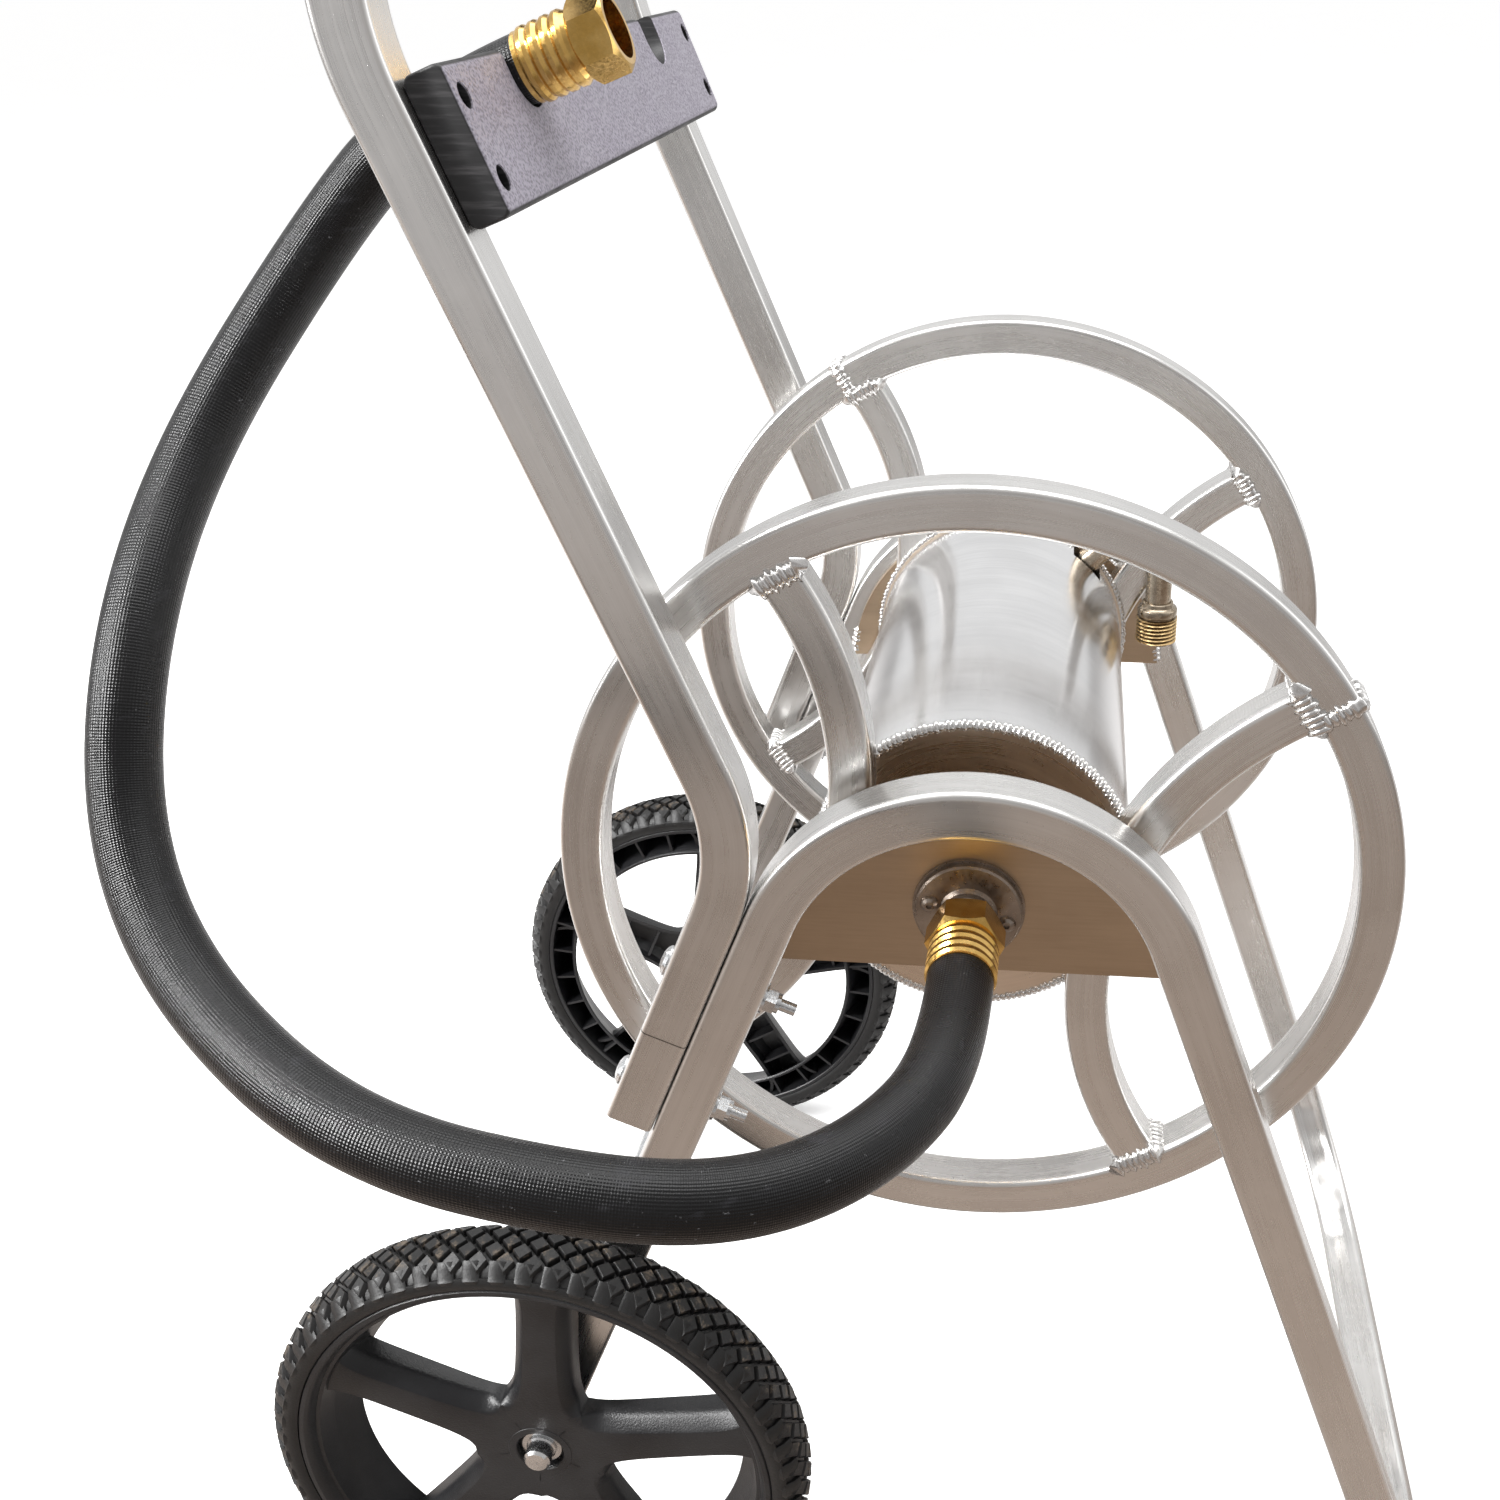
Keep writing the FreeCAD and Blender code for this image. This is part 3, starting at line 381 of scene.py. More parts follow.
def to_mesh(name, vertices, faces, sharp):
    """Mesh with smooth shading, apart from edges that turn more than sharp degrees."""
    mesh = bpy.data.meshes.new(name)
    mesh.from_pydata([tuple(v) for v in vertices], [], faces)
    mesh.validate()
    bm = bmesh.new()
    bm.from_mesh(mesh)
    bmesh.ops.remove_doubles(bm, verts=bm.verts, dist=1e-7)
    bmesh.ops.recalc_face_normals(bm, faces=bm.faces)
    for face in bm.faces:
        face.smooth = True
    for edge in bm.edges:
        if len(edge.link_faces) == 2 and edge.calc_face_angle() > math.radians(sharp):
            edge.smooth = False
    bm.to_mesh(mesh)
    bm.free()
    return mesh


def radial(degrees):
    """Direction in the XZ plane, degrees above +X."""
    a = math.radians(degrees)
    return Vector((math.cos(a), 0, math.sin(a)))


def on_circle(radius, degrees, y):
    """Place on a circle about the reel's axis."""
    a = math.radians(degrees)
    return REEL + Vector((radius * math.cos(a), y, radius * math.sin(a)))


def eased(share):
    """A share from 0 to 1, eased at both ends."""
    return share * share * (3 - 2 * share)


def band(faces, a, b, n):
    """Faces between two closed rings of n vertices, which start at a and b."""
    for j in range(n):
        k = (j + 1) % n
        faces.append((a + j, a + k, b + k, b + j))


def bead(points, normals, width, closed, pitch):
    """Weld bead of overlapping ripples along a line of points; normals point out of the corner."""
    runs = [0.0]
    line = points + points[:1] if closed else points
    for a, b in zip(line, line[1:]):
        runs.append(runs[-1] + (b - a).length)
    total = runs[-1]
    ripples = max(2, round(total / pitch))
    per, segments = 6, 10                        # stations in a ripple, points round the bead
    count = ripples * per
    vertices, faces = [], []
    k = 0
    for i in range(count if closed else count + 1):
        s = total * i / count
        while k < len(runs) - 2 and runs[k + 1] < s:
            k += 1
        share = (s - runs[k]) / max(runs[k + 1] - runs[k], 1e-9)
        here = line[k].lerp(line[k + 1], share)
        ahead = (line[k + 1] - line[k]).normalized()
        out = normals[k % len(normals)].lerp(normals[(k + 1) % len(normals)], share)
        out = (out - ahead * out.dot(ahead)).normalized()
        across = ahead.cross(out)
        phase = (i % per) / per
        swell = 0.68 + 0.32 * math.sin(math.pi * phase) ** 0.7
        if not closed and (i < 3 or i > count - 3):
            swell *= 0.55
        drift = 1 + 0.12 * math.sin(s * 910.0) + 0.08 * math.sin(s * 2300.0)
        for j in range(segments):
            a = 2 * math.pi * j / segments
            lag = -0.35 * pitch * (1 - math.cos(a)) / 2
            w, h = width * drift * swell * math.sin(a), width * 0.62 * swell * math.cos(a)
            vertices.append(here + across * w + out * h + ahead * lag)
    rings = count if closed else count + 1
    for i in range(rings if closed else rings - 1):
        band(faces, i * segments, ((i + 1) % rings) * segments, segments)
    if not closed:
        faces.append(tuple(range(segments)))
        faces.append(tuple(reversed(range((rings - 1) * segments, rings * segments))))
    return vertices, faces


def merged(parts):
    vertices, faces = [], []
    for v, f in parts:
        start = len(vertices)
        vertices += v
        faces += [tuple(i + start for i in face) for face in f]
    return vertices, faces


# ---- bent tubes ---------------------------------------------------------------------------------
def square_outline(size, corner=0.003):
    """Points round a square tube with soft corners: (a, b, distance round it, side, place on the side)."""
    half, flat = size / 2, size / 2 - corner
    outline, run = [], 0.0
    for side in range(4):
        c, s = QUARTERS[side]
        for t in (-flat, -flat + 0.0008, -flat * 0.6, -flat * 0.3, 0,
                  flat * 0.3, flat * 0.6, flat - 0.0008, flat):
            outline.append((half * c - t * s, half * s + t * c, run + t + flat, side, t))
        run += 2 * flat
        for k in range(1, 5):
            a = math.radians(18 * k)
            p = flat + corner * math.cos(a)
            q = flat + corner * math.sin(a)
            outline.append((p * c - q * s, p * s + q * c, run + corner * a, -1, 0))
        run += corner * math.pi / 2
    return outline, run


def path_frames(points, radii, a_side, b_side):
    """Stations (place, a, b, distance) along straight runs joined by tangent arcs.

    They are about 30 mm apart on the runs and 2 degrees on the arcs.
    """
    here, a, b = points[0].copy(), a_side.copy(), b_side.copy()
    stations, run = [(here.copy(), a.copy(), b.copy(), 0.0)], 0.0
    for i in range(1, len(points)):
        ahead = (points[i] - points[i - 1]).normalized()
        end = points[i].copy()
        if i < len(points) - 1:
            leaving = (points[i + 1] - points[i]).normalized()
            turn = ahead.angle(leaving)
            end -= ahead * (radii[i - 1] * math.tan(turn / 2))
        length = (end - here).length
        parts = max(1, round(length / 0.03))
        for k in range(1, parts + 1):
            stations.append((here.lerp(end, k / parts), a.copy(), b.copy(), run + length * k / parts))
        run += length
        here = end
        if i < len(points) - 1:
            axis = ahead.cross(leaving).normalized()
            centre = here + axis.cross(ahead) * radii[i - 1]
            parts = max(2, round(math.degrees(turn) / 2))
            for k in range(1, parts + 1):
                spin = Matrix.Rotation(turn * k / parts, 3, axis)
                stations.append((centre + spin @ (here - centre), spin @ a, spin @ b,
                                 run + radii[i - 1] * turn * k / parts))
            here, a, b, run = stations[-1]
    return stations


def tube(name, stations, size, closed=False, dents=()):
    """Square tube along its stations, mapped in metres: u along it, v round it.

    A dent is (side, its middle's distance, half length, half width, depth).
    """
    outline, around = square_outline(size)
    n = len(outline)
    vertices, faces, maps = [], [], []
    for place, a, b, run in stations:
        for p, q, _, side, t in outline:
            point = place + a * p + b * q
            for dent_side, middle, reach, width, depth in dents:
                if side == dent_side:
                    x = min(1.0, abs(run - middle) / reach)
                    y = min(1.0, abs(t) / width)
                    d = min(1.0, 2.2 * max(0.0, 1 - (x ** 8 + y ** 3) ** 0.5))
                    level = eased(d) * (0.88 + 0.12 * math.sin(run * 270.0))
                    c, s = QUARTERS[side]
                    point -= (a * c + b * s) * (depth * level)
            vertices.append(point)
    rings = len(stations)
    for i in range(rings if closed else rings - 1):
        nxt = (i + 1) % rings
        u0 = stations[i][3]
        u1 = stations[nxt][3] if nxt else 2 * stations[-1][3] - stations[-2][3]
        for j in range(n):
            k = (j + 1) % n
            v0 = outline[j][2]
            v1 = outline[k][2] if k else around
            faces.append((i * n + j, i * n + k, nxt * n + k, nxt * n + j))
            maps.append(((u0, v0), (u0, v1), (u1, v1), (u1, v0)))
    mesh = bpy.data.meshes.new(name)
    mesh.from_pydata([tuple(v) for v in vertices], [], faces)
    layer = mesh.uv_layers.new(name="along")
    for face, corners in zip(mesh.polygons, maps):
        face.use_smooth = True
        for loop, uv in zip(face.loop_indices, corners):
            layer.data[loop].uv = uv
    return mesh


def cut_end(mesh, stations, end):
    """Close an end of a frame tube, 0 or 1, with its wall's edge and the bore inside it."""
    place, a, b, _ = stations[-1 if end else 0]
    before = stations[-2 if end else 1][0]
    inward = (before - place).normalized()
    outline, _ = square_outline(FRAME_TUBE)
    inner, _ = square_outline(FRAME_TUBE - 2 * FRAME_WALL, 0.001)
    bm = bmesh.new()
    bm.from_mesh(mesh)
    n = len(outline)
    outer_ring = [bm.verts.new(place + a * p + b * q) for p, q, *_ in outline]
    inner_ring = [bm.verts.new(place + a * p + b * q) for p, q, *_ in inner]
    deep_ring = [bm.verts.new(place + inward * 0.05 + a * p + b * q) for p, q, *_ in inner]
    for one, two in ((outer_ring, inner_ring), (inner_ring, deep_ring)):
        for j in range(n):
            k = (j + 1) % n
            quad = (one[j], one[k], two[k], two[j])
            face = bm.faces.new(quad if end else tuple(reversed(quad)))
            face.smooth = False
    bm.to_mesh(mesh)
    bm.free()


for name, turn in SIDES:
    y = turn * (REEL_HALF - REEL_TUBE / 2)
    middle = RIM_R - REEL_TUBE / 2
    count = 256
    stations = []
    for i in range(count):
        at = 360 * i / count
        stations.append((on_circle(middle, at, y), radial(at), Y_AXIS, middle * math.radians(at)))
    piece = "rim_tube_" + name
    new_piece(piece, tube(piece, stations, REEL_TUBE, True), REEL_METAL, "reel", "reel_aluminium",
              "rim_" + name)
    for place, aim in (("rear", SPOKE_AIM), ("front", SPOKE_AIM - 180)):
        centre = on_circle(SPOKE_CENTRE, aim, y)
        stations = []
        for i in range(61):
            angle = 180 + SPOKE_SPAN * (i / 30 - 1)
            out = radial(aim + angle)
            stations.append((centre + out * SPOKE_BEND_R, out, Y_AXIS, SPOKE_BEND_R * math.radians(angle)))
        piece = "spoke_%s_%s" % (place, name)
        new_piece(piece, tube(piece, stations, REEL_TUBE), REEL_METAL, "reel", "reel_aluminium",
                  "reel_spoke_%s_%s" % (place, name))


def leaning(side, degrees):
    a = math.radians(degrees)
    return Vector((side * math.sin(a), 0, -math.cos(a))), Vector((side * math.cos(a), 0, math.sin(a)))


def crossing(p, d, q, e):
    """Where two lines of the XZ plane meet."""
    t = ((q.x - p.x) * e.z - (q.z - p.z) * e.x) / (d.x * e.z - d.z * e.x)
    return p + d * t


FRONT_DOWN, FRONT_OUT = leaning(1, FRONT_LEAN)
REAR_DOWN, REAR_OUT = leaning(-1, REAR_LEAN)
front_top, rear_top = ARCH + FRONT_OUT * ARCH_R, ARCH + REAR_OUT * ARCH_R
apex = crossing(front_top, FRONT_DOWN, rear_top, REAR_DOWN)
tilt = math.radians(FRONT_LEAN)
foot_reach = (FRAME_TUBE / 2 - 0.003) * (math.cos(tilt) + math.sin(tilt)) + 0.003
foot = front_top + FRONT_DOWN * ((foot_reach - front_top.z) / FRONT_DOWN.z)
rear_end = AXLE + REAR_DOWN * 0.022
right = [p - Y_AXIS * FRAME_Y for p in (rear_end, apex, foot)]
left = [p + Y_AXIS * FRAME_Y for p in (foot, apex, rear_end)]
stations = path_frames(right + left, [ARCH_R, FOOT_BEND_R, FOOT_BEND_R, ARCH_R], REAR_OUT, Y_AXIS)
total = stations[-1][3]
bend_start = next(s[3] for s in stations if abs(s[0].y - REEL.y) < FRAME_Y - 1e-4) - 0.004
dents = [(1, middle, 0.096, 0.0080, 0.0034)
         for middle in (bend_start + 0.086, total - bend_start - 0.086)]
mesh = tube("frame_tube", stations, FRAME_TUBE, dents=dents)
for end in (0, 1):
    cut_end(mesh, stations, end)
new_piece("frame_tube", mesh, FRAME_METAL, "frame", "tube_aluminium",
          "side_frame_right", "side_frame_left", "foot_bar")

slope = math.radians(HANDLE_LEAN)
SLOPE_OUT = Vector((math.cos(slope), 0, math.sin(slope)))
SLOPE_UP = Vector((-math.sin(slope), 0, math.cos(slope)))
low_end = rear_top + REAR_OUT * (FRAME_TUBE + 0.0004) + REAR_DOWN * 0.148
slope_point = REEL + SLOPE_OUT * (-0.0728 - FRAME_TUBE / 2)
knee = crossing(low_end, REAR_DOWN, slope_point, SLOPE_UP)
crown = slope_point + SLOPE_UP * (0.436 + CROWN_R * math.tan(slope / 2))
top = Vector((crown.x, REEL.y, REEL.z + 0.535 - FRAME_TUBE / 2))
right = [p - Y_AXIS * FRAME_Y for p in (low_end, knee, crown, top)]
left = [p + Y_AXIS * FRAME_Y for p in (top, crown, knee, low_end)]
bends = [KNEE_R, CROWN_R, CORNER_R]
stations = path_frames(right + left, bends + bends[::-1], REAR_OUT, Y_AXIS)
mesh = tube("handle_bar", stations, FRAME_TUBE)
for end in (0, 1):
    cut_end(mesh, stations, end)
new_piece("handle_bar", mesh, HANDLE_METAL, "frame", "tube_aluminium", "handle_tube")


# ---- welds --------------------------------------------------------------------------------------
EDGE_NEAR, EDGE_FAR = 44.03, 50.82               # a spoke's two edges on the rim, degrees from its aim
DRUM_END_Y = 0.1545                              # the drum's end, from the reel's middle
DRUM_SEAM_R = 0.1768                             # the spokes' beads on the drum, about a bend's centre
# Stitches on a hub plate: middle and half length in degrees above +X about the arch, then width.
STITCHES = ((8, 5, 0.0040), (52, 7, 0.0022), (90, 7, 0.0022), (128, 7, 0.0022), (172, 5, 0.0040))


def spoke_weld(aim, end, turn):
    """Bead all round one end of a reel spoke, on the inside of the rim."""
    first, last = aim + end * EDGE_NEAR, aim + end * EDGE_FAR
    outer, inner = turn * REEL_HALF, turn * (REEL_HALF - REEL_TUBE)
    r = RIM_R - REEL_TUBE - 0.0006
    loop, normals = [], []
    away = Y_AXIS * turn
    for i in range(7):
        at = first + (last - first) * i / 6
        loop.append(on_circle(r, at, outer))
        normals.append((away - radial(at) * 0.15).normalized())
    for i in range(1, 7):
        loop.append(on_circle(r, last, outer + (inner - outer) * i / 6))
        normals.append((radial(last + end * 90) - radial(last)).normalized())
    for i in range(1, 7):
        at = last + (first - last) * i / 6
        loop.append(on_circle(r, at, inner))
        normals.append((-away - radial(at) * 0.4).normalized())
    for i in range(1, 6):
        loop.append(on_circle(r, first, inner + (outer - inner) * i / 6))
        normals.append((-radial(first + end * 90) - radial(first)).normalized())
    return bead(loop, normals, 0.0060, True, 0.0034)


def drum_weld(turn):
    """Bead round the drum where it meets an end disc."""
    ring = [on_circle(DRUM_R + 0.0011, 3 * i, turn * DRUM_END_Y) for i in range(120)]
    return bead(ring, [(p - REEL).normalized() for p in ring], 0.0031, True, 0.0028)


def rim_seam(turn, at):
    """Bead round a rim's tube where its ends are joined."""
    inner = RIM_R - REEL_TUBE
    square = ((inner, 0), (RIM_R, 0), (RIM_R, 1), (inner, 1))
    loop, outs = [], []
    for k, out in enumerate((Y_AXIS * turn, radial(at), Y_AXIS * -turn, -radial(at))):
        (r0, y0), (r1, y1) = square[k], square[(k + 1) % 4]
        for i in range(1, 9):
            r, y = r0 + (r1 - r0) * i / 9, y0 + (y1 - y0) * i / 9
            loop.append(on_circle(r, at, turn * (REEL_HALF - y * REEL_TUBE)))
            outs.append(out)
    return bead(loop, outs, 0.0050, True, 0.0034)


def drum_spoke_weld(aim, turn):
    """Bead where a spoke's bend touches an end disc of the drum."""
    centre, y = on_circle(SPOKE_CENTRE, aim, 0), turn * (REEL_HALF - REEL_TUBE)
    seam, outs = [], []
    for i in range(13):
        toward = radial(aim + 173 + 14 * i / 12)
        seam.append(centre + toward * DRUM_SEAM_R + Y_AXIS * y)
        outs.append((-toward - Y_AXIS * (turn * 0.4)).normalized())
    return bead(seam, outs, 0.0036, False, 0.0032)


def plate_weld(turn, middle, reach, width):
    """Stitch between the arch and a hub plate."""
    y = turn * (FRAME_Y - FRAME_TUBE / 2 - 0.0004)
    stitch, outs = [], []
    for i in range(9):
        around = radial(middle - reach + 2 * reach * i / 8)
        stitch.append(ARCH + around * (ARCH_R + 0.0022) + Y_AXIS * y)
        outs.append((around - Y_AXIS * turn).normalized())
    return bead(stitch, outs, width, False, width * 0.9)


welds = []
for turn, seam_at in ((-1, 31.6), (1, 121.4)):
    for aim in (SPOKE_AIM, SPOKE_AIM - 180):
        for end in (-1, 1):
            welds.append(spoke_weld(aim, end, turn))
    welds.append(drum_weld(turn))
    welds.append(rim_seam(turn, seam_at))
    for aim in (SPOKE_AIM, SPOKE_AIM - 180):
        welds.append(drum_spoke_weld(aim, turn))
vertices, faces = merged(welds)
new_piece("reel_welds", to_mesh("reel_welds", vertices, faces, 60), WELD_METAL, "reel", "reel_aluminium")

vertices, faces = merged([plate_weld(turn, *stitch) for turn in (-1, 1) for stitch in STITCHES])
new_piece("plate_welds", to_mesh("plate_welds", vertices, faces, 60), WELD_METAL, "frame", "tube_aluminium")


# ---- tyres --------------------------------------------------------------------------------------
RIBS = 64                                        # lugs in a row, and shoulder ribs


def tyre_mesh(turn):
    """Smooth sidewalls, ribbed shoulders and five rows of diamond lugs."""
    middle = turn * (WHEEL_OUT - TYRE_W / 2)

    def at(across, radius, degrees):
        a = math.radians(degrees)
        return Vector((AXLE.x + radius * math.cos(a), REEL.y + middle + turn * across,
                       AXLE.z + radius * math.sin(a)))

    half = [(0.0002, WHEEL_R - 0.0042), (0.0060, WHEEL_R - 0.0043), (0.0115, WHEEL_R - 0.0052),
            (0.0150, WHEEL_R - 0.0072), (0.0172, WHEEL_R - 0.0100), (0.0186, SEAT_R + 0.0088),
            (0.0196, SEAT_R + 0.0074), (0.0200, SEAT_R + 0.0050), (0.0198, SEAT_R + 0.0030),
            (0.0190, SEAT_R + 0.0012), (0.0182, SEAT_R + 0.0001)]
    outline = [(-a, r) for a, r in reversed(half)] + half
    vertices, faces = [], []
    steps = 192
    for i in range(steps):
        for a, r in outline:
            vertices.append(at(a, r, 360 * i / steps))
    n = len(outline)
    for i in range(steps):
        band(faces, i * n, ((i + 1) % steps) * n, n)

    def top_radius(a):
        a = abs(a)
        if a < 0.006:
            return WHEEL_R
        if a < 0.0115:
            return WHEEL_R - 0.0015 * (a - 0.006) / 0.0055
        return WHEEL_R - 0.0015 - 0.0045 * (a - 0.0115) / 0.006

    pitch = 360 / RIBS
    for row in range(-2, 3):
        for i in range(RIBS):
            centre_a, reach_a = row * 0.0062, 0.0053
            centre, reach_d = pitch * (i + 0.5 * (row % 2)), pitch * 0.36
            rings = []
            for grow, level in ((1.04, -0.0052), (0.94, -0.0005), (0.86, 0.0)):
                ring = []
                for da, dd in QUARTERS:
                    a = centre_a + da * reach_a * grow
                    r = top_radius(a) + level
                    ring.append(at(a, min(r, top_radius(a)), centre + dd * reach_d * grow))
                rings.append(ring)
            start = len(vertices)
            for ring in rings:
                vertices += ring
            for k in range(2):
                band(faces, start + 4 * k, start + 4 * (k + 1), 4)
            faces.append(tuple(start + 8 + j for j in range(4)))
    for face_side in (-1, 1):
        for i in range(RIBS):
            centre = pitch * (i + 0.25)
            stations = [(0.0128, WHEEL_R - 0.0026), (0.0160, WHEEL_R - 0.0052),
                        (0.0186, WHEEL_R - 0.0092), (0.0201, SEAT_R + 0.0082), (0.0199, SEAT_R + 0.0060)]
            start = len(vertices)
            sections = []
            for k, (a, r) in enumerate(stations):
                ring = []
                for dd, sink in ((-0.34, 0.0035), (-0.33, 0.0007), (-0.24, 0.0), (0.24, 0.0),
                                 (0.33, 0.0007), (0.34, 0.0035)):
                    slope = 0.75 if k < 2 else 0.3
                    ring.append(at(face_side * (a - sink * (1 - slope * 0.5)), r - sink * slope,
                                   centre + dd * pitch * (1.0 if k < 4 else 0.8)))
                sections.append(len(vertices))
                vertices += ring
            for a, b in zip(sections, sections[1:]):
                for j in range(5):
                    faces.append((a + j, a + j + 1, b + j + 1, b + j))
            faces.append(tuple(sections[0] + j for j in range(6)))
            faces.append(tuple(sections[-1] + j for j in range(6)))
    return vertices, faces


for name, turn in SIDES:
    vertices, faces = tyre_mesh(turn)
    mesh = to_mesh("tread_" + name, vertices, faces, 30)
    new_piece("tread_" + name, mesh, TYRE, "wheel_" + name, "tyre_rubber", "tyre_" + name)


# ---- wheels -------------------------------------------------------------------------------------
HUB_FACE, HUB_IN = 0.246, 0.2204
SPOKE_TURN = 84.0                                # one of the wheel's spokes, degrees above +X
SPOKE_FROM, SPOKE_TO = 0.0142, SEAT_R - 0.0062


def wheel_mesh(turn):
    """Moulded wheel: barrel, ribs on its inner side, and five channel spokes that flare at both ends."""
    vertices, faces = [], []

    def at(radius, degrees, out, aside=0.0):
        a = math.radians(degrees)
        return Vector((AXLE.x + radius * math.cos(a) - aside * math.sin(a), REEL.y + turn * out,
                       AXLE.z + radius * math.sin(a) + aside * math.cos(a)))

    def lathe(outline, steps):
        start, n = len(vertices), len(outline)
        for i in range(steps):
            for out, r in outline:
                vertices.append(at(r, 360 * i / steps, out))
        for i in range(steps):
            band(faces, start + i * n, start + ((i + 1) % steps) * n, n)

    def box(corners):
        start = len(vertices)
        vertices.extend(corners)
        for face in ((0, 1, 2, 3), (7, 6, 5, 4), (0, 4, 5, 1), (1, 5, 6, 2), (2, 6, 7, 3), (3, 7, 4, 0)):
            faces.append(tuple(start + i for i in face))

    outer, inner = WHEEL_OUT - 0.002, WHEEL_OUT - TYRE_W + 0.002
    lathe([(outer - 0.0010, SEAT_R - 0.0001), (outer, SEAT_R - 0.0010), (outer, SEAT_R - 0.0034),
           (outer - 0.0005, SEAT_R - 0.0044), (outer - 0.0014, SEAT_R - 0.0054),
           (outer - 0.0035, SEAT_R - 0.0066), (outer - 0.0080, SEAT_R - 0.0085),
           (outer - 0.0180, SEAT_R - 0.0135), (outer - 0.0280, SEAT_R - 0.0186),
           (inner + 0.0010, 0.1132), (inner, 0.1140), (inner, 0.1156), (inner + 0.0010, 0.1165),
           (outer - 0.0070, SEAT_R - 0.0100), (outer - 0.0060, SEAT_R - 0.0040),
           (inner + 0.0006, SEAT_R - 0.0034), (inner, SEAT_R - 0.0028), (inner, SEAT_R - 0.0006),
           (inner + 0.0006, SEAT_R - 0.0001)], 180)
    for k in range(30):
        rib = ((0.1138, inner + 0.002), (SEAT_R - 0.0025, inner + 0.002), (SEAT_R - 0.0025, outer - 0.006),
               (SEAT_R - 0.0085, outer - 0.008))
        box([at(r, SPOKE_TURN + 6 + 12 * k, out, aside) for aside in (-0.001, 0.001) for r, out in rib])
    lathe([(HUB_IN, 0.0064), (HUB_IN, 0.0205), (HUB_IN + 0.001, 0.0215), (HUB_FACE - 0.003, 0.0225),
           (HUB_FACE - 0.0051, 0.0225), (HUB_FACE - 0.0050, 0.0064)], 96)
    lathe([(HUB_FACE - 0.0052, 0.0135), (HUB_FACE - 0.0004, 0.0136), (HUB_FACE + 0.0003, 0.0143),
           (HUB_FACE + 0.0003, 0.0182), (HUB_FACE - 0.0012, 0.0196)], 96)
    corner = math.tan(math.radians(36))
    for k in range(5):
        angle = SPOKE_TURN + 72 * k
        sections = []
        for q in range(41):
            r = SPOKE_FROM + (SPOKE_TO - SPOKE_FROM) * q / 40
            w = 0.0168 - 0.0022 * (r - 0.03) / 0.1
            w += 0.0120 * math.exp(-max(0.0, r - 0.026) / 0.0085)
            w += 0.0085 * math.exp(-max(0.0, 0.1290 - r) / 0.0070)
            inside = min(1.0, r * corner / w)
            face = HUB_FACE + 0.0040 * min(1.0, max(0.0, (r - 0.02) / 0.11))
            back = WHEEL_OUT - TYRE_W + 0.008 + 0.004 * math.exp(-max(0.0, r - 0.025) / 0.012)
            drop = eased(min(1.0, max(0.0, (r - 0.0285) / 0.0115)))
            half = [(w + 0.0012, back), (w + 0.0006, face - 0.0105 * drop),
                    (w - 0.0002, face - 0.0078 * drop), (w - 0.0014, face - 0.0062 * drop),
                    (w - 0.0052, face - 0.0012 * drop), (w - 0.0064, face - 0.0003 * drop),
                    (w - 0.0078, face), (0.0, face)]
            hollow = [(w - 0.0018, back), (w - 0.0026, face - 0.0110), (w - 0.0075, face - 0.0040),
                      (0.0, face - 0.0034)]
            loop = half + [(-a, b) for a, b in reversed(half[:-1])]
            loop += [(-a, b) for a, b in hollow[:-1]] + hollow[::-1]
            start = len(vertices)
            for a, b in loop:
                vertices.append(at(r, angle, b, a * inside))
            sections.append((start, len(loop)))
        for (a, n), (b, _) in zip(sections, sections[1:]):
            band(faces, a, b, n)
        for r in (0.052, 0.078, 0.102):
            half = 0.0135
            corners = [at(r + dr, angle, out, aside) for dr in (-0.001, 0.001)
                       for aside, out in ((-half, HUB_FACE - 0.003), (half, HUB_FACE - 0.003),
                                          (half, HUB_FACE - 0.0145), (-half, HUB_FACE - 0.0145))]
            box(corners)
    return vertices, faces


for name, turn in SIDES:
    vertices, faces = wheel_mesh(turn)
    mesh = to_mesh("spoked_wheel_" + name, vertices, faces, 24)
    new_piece("spoked_wheel_" + name, mesh, PLASTIC, "wheel_" + name, "black_plastic", "wheel_" + name)


# ---- outlet -------------------------------------------------------------------------------------
def turned(outline, start, axis, thread, steps=96):
    """Solid of revolution from (distance, radius) points; thread = (from, to, pitch, depth)."""
    side = axis.orthogonal().normalized()
    other = axis.cross(side)
    vertices, faces = [], []
    for i in range(steps):
        a = 2 * math.pi * i / steps
        out = side * math.cos(a) + other * math.sin(a)
        for d, r in outline:
            if thread[0] < d < thread[1]:
                phase = (d / thread[2] - i / steps) % 1.0
                r -= thread[3] * abs(2 * phase - 1)
            vertices.append(start + axis * d + out * r)
    n = len(outline)
    for i in range(steps):
        band(faces, i * n, ((i + 1) % steps) * n, n)
    return vertices, faces


threads = [(0.0112 + 0.0160 * k / 96, 0.0135) for k in range(97)]
outline = [(0.0, 0.0087), (0.0, 0.0096), (0.0006, 0.0102), (0.0030, 0.0106), (0.0044, 0.0126),
           (0.0052, 0.0130), (0.0086, 0.0130), (0.0094, 0.0126), (0.0100, 0.0118), (0.0106, 0.0118)]
outline += threads
outline += [(0.0278, 0.0122), (0.0285, 0.0116), (0.0285, 0.0095), (0.0050, 0.0095), (0.0050, 0.0087)]
start = REEL + Vector((0.1035, 0.1435, 0.030))
vertices, faces = turned(outline, start, Vector((0, 0, -1)), (0.0114, 0.0270, 0.0026, 0.0014))
f = Finish("outlet_brass", Metallic=1.0)
radius = f.vector("LENGTH", f.vector("MULTIPLY", f.from_point(start), (1, 1, 0)))
collar = f.remap(f.split(f.place)[2], start.z - 0.0116, start.z - 0.0100)
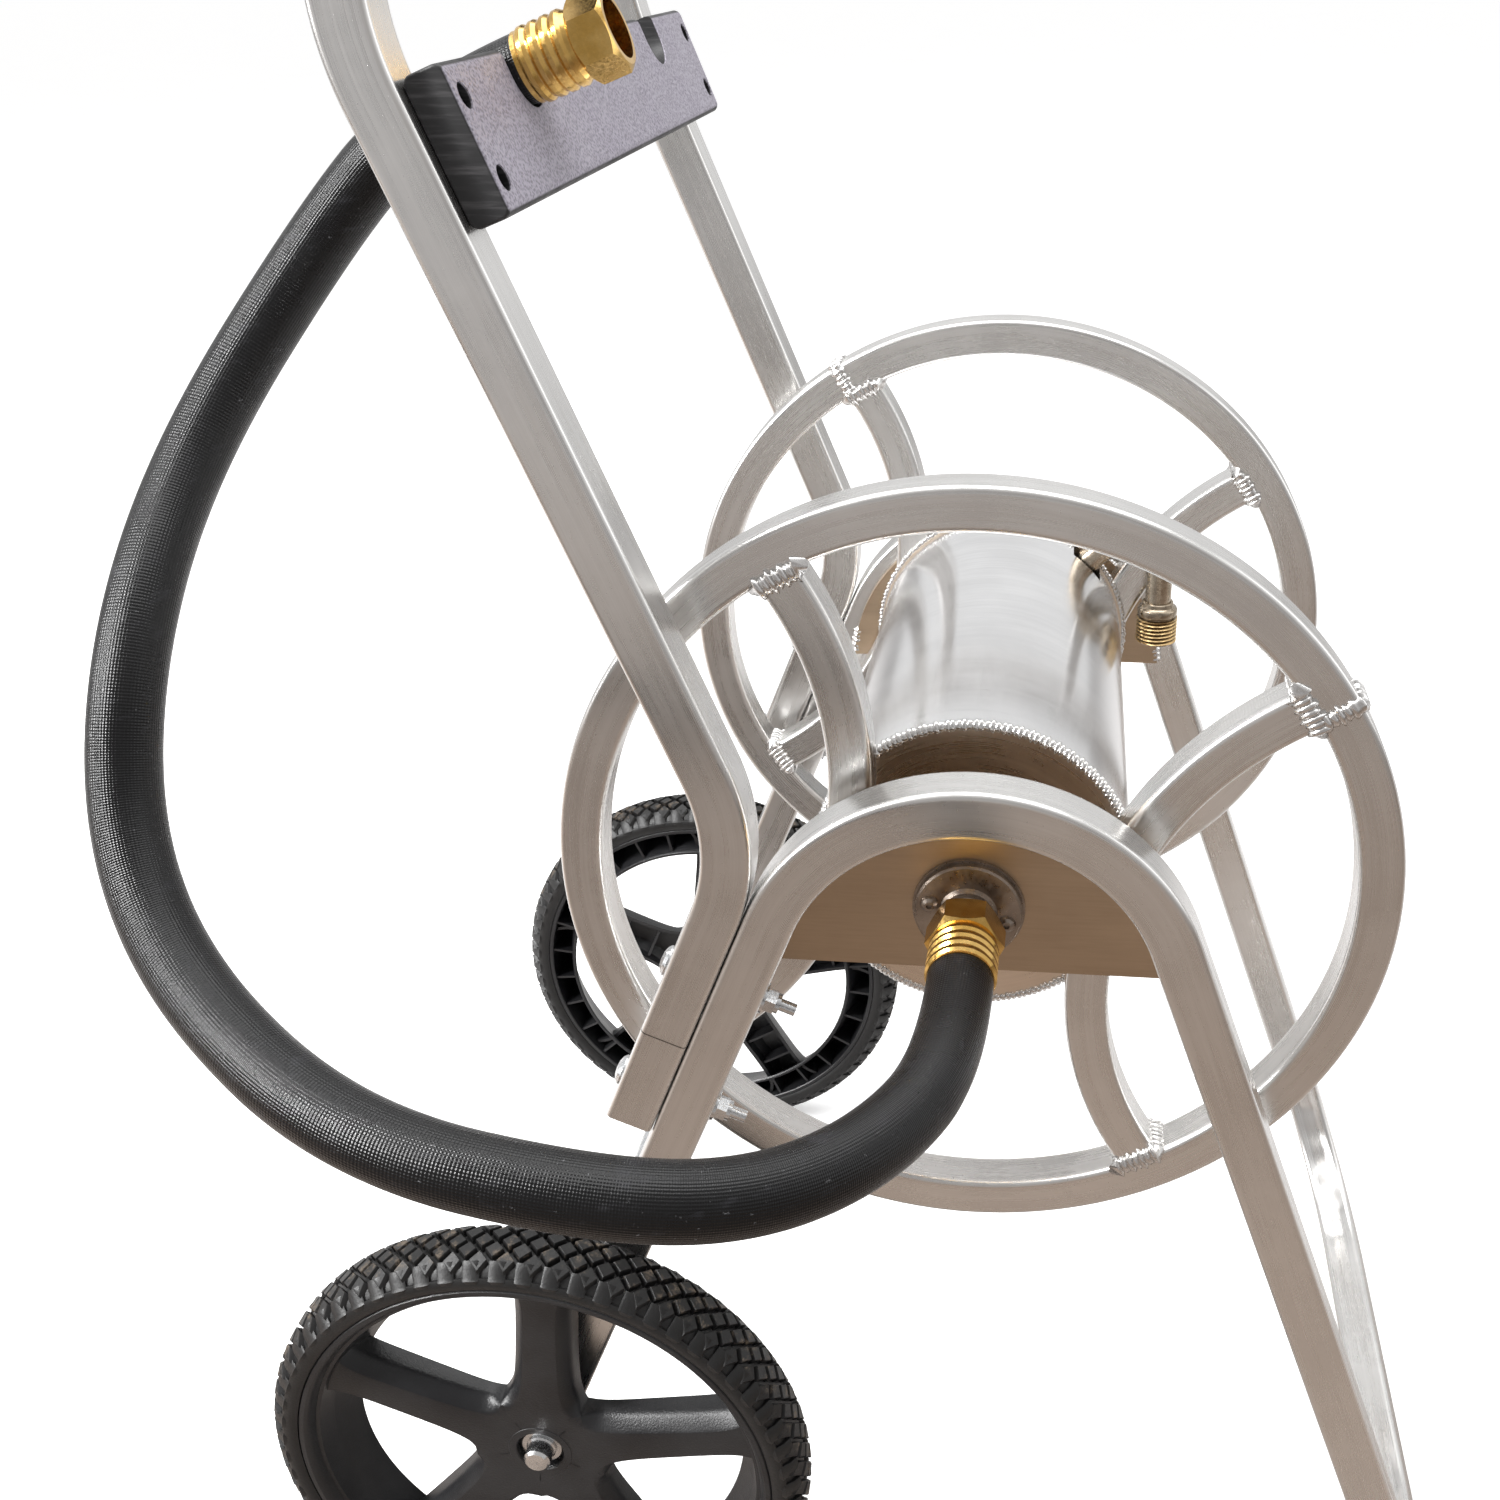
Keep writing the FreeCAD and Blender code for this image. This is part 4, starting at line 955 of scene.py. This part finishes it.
cloud = f.remap(f.noise(f.place, 90.0, 3.0, 0.6), 0.3, 0.7)
# The thread is darker in its roots and bright brass on its crests.
ring = f.mix(f.remap(radius, 0.0123, 0.0133), (0.16, 0.105, 0.050), (0.78, 0.56, 0.28))
plain = f.mix(cloud, (0.30, 0.25, 0.19), (0.50, 0.42, 0.32))
OUTLET = f.finish(f.mix(collar, ring, plain), f.remap(cloud, 0.0, 1.0, 0.20, 0.32),
                  f.bump(f.noise(f.place, 500.0, 3.0, 0.6), 0.00001, 0.5))
new_piece("outlet_thread", to_mesh("outlet_thread", vertices, faces, 35), OUTLET, "reel", "brass",
          "outlet_fitting")


# ---- floor and light ----------------------------------------------------------------------------
mesh = bpy.data.meshes.new("floor")
reach = 40.0
mesh.from_pydata([(-reach, -reach, 0), (reach, -reach, 0), (reach, reach, 0), (-reach, reach, 0)], [],
                 [(0, 1, 2, 3)])
floor = bpy.data.objects.new("floor", mesh)
bpy.context.scene.collection.objects.link(floor)
f = Finish("studio_floor", Roughness=0.9)
f.shader.inputs["Specular IOR Level"].default_value = 0.0
f.shader.inputs["Emission Color"].default_value = (1, 1, 1, 1)
x, y, _ = f.split(f.place)
tone = f.noise(f.place, 3.0, 2.0, 0.5)
pale = f.mix(tone, (0.90, 0.90, 0.90), (0.93, 0.93, 0.93))
glossy = f.add("LightPath").outputs["Is Glossy Ray"]      # painted reflection: glossy rays see a darker, warmer floor than the camera does
# Painted reflection: these browns and greys appear only in reflections, graded by place on the floor.
painted_reflection_brown = f.mix(f.remap(x, -0.65, 0.20), (0.085, 0.066, 0.054), (0.17, 0.134, 0.110))
painted_reflection_brown = f.mix(f.remap(y, -0.85, -0.45), painted_reflection_brown, (0.23, 0.186, 0.156))
painted_reflection_nearby = f.mix(f.remap(y, 0.4, -0.45), (0.56, 0.55, 0.545), painted_reflection_brown)
middle = f.mix(f.remap(y, -0.9, -2.5), painted_reflection_nearby, (0.25, 0.228, 0.212))
painted_reflection = f.mix(f.remap(y, -2.4, -4.6), middle, (0.56, 0.555, 0.56))
glow = f.calc("MULTIPLY", f.calc("SUBTRACT", 1.0, glossy), 0.33)
f.tree.links.new(glow, f.shader.inputs["Emission Strength"])
floor.data.materials.append(f.finish(f.mix(glossy, pale, painted_reflection)))

world = bpy.data.worlds.new("studio")
bpy.context.scene.world = world
world.use_nodes = True
tree = world.node_tree
background = tree.nodes["Background"]
coords = tree.nodes.new("ShaderNodeTexCoord")
apart = tree.nodes.new("ShaderNodeSeparateXYZ")
tree.links.new(coords.outputs["Generated"], apart.inputs[0])
front = tree.nodes.new("ShaderNodeMapRange")
front.interpolation_type = "SMOOTHSTEP"
for key, value in (("From Min", -0.2), ("From Max", -0.95), ("To Min", 0.0), ("To Max", 1.0)):
    front.inputs[key].default_value = value
tree.links.new(apart.outputs[1], front.inputs["Value"])
shade = tree.nodes.new("ShaderNodeMix")
shade.data_type = "RGBA"
colors = rgba(shade.inputs)
colors[0].default_value = (1.0, 1.0, 1.0, 1)
colors[1].default_value = (0.46, 0.44, 0.43, 1)
seen = tree.nodes.new("ShaderNodeLightPath")
backdrop = tree.nodes.new("ShaderNodeMix")
backdrop.data_type = "RGBA"
tree.links.new(front.outputs[0], shade.inputs[0])
colors = rgba(backdrop.inputs)
colors[1].default_value = (1.25, 1.25, 1.25, 1)          # what the camera sees beyond the floor
tree.links.new(rgba(shade.outputs)[0], colors[0])
tree.links.new(seen.outputs["Is Camera Ray"], backdrop.inputs[0])
tree.links.new(rgba(backdrop.outputs)[0], background.inputs["Color"])
background.inputs["Strength"].default_value = 0.80


def softbox(name, place, aim, size, power):
    light = bpy.data.lights.new(name, "AREA")
    light.shape = "RECTANGLE"
    light.size, light.size_y = size
    light.energy = power
    made = bpy.data.objects.new(name, light)
    bpy.context.scene.collection.objects.link(made)
    made.location = place
    made.rotation_euler = (Vector(aim) - Vector(place)).to_track_quat("-Z", "Y").to_euler()


softbox("softbox_top", (0.0, 0.5, 3.2), (0, 0, 0.4), (3.2, 2.4), 85)
softbox("softbox_left", (-2.2, -1.2, 1.9), (-0.1, -0.3, 0.5), (0.26, 2.2), 150)
softbox("softbox_right", (2.8, 0.4, 1.6), (0, 0, 0.5), (1.4, 2.2), 9)
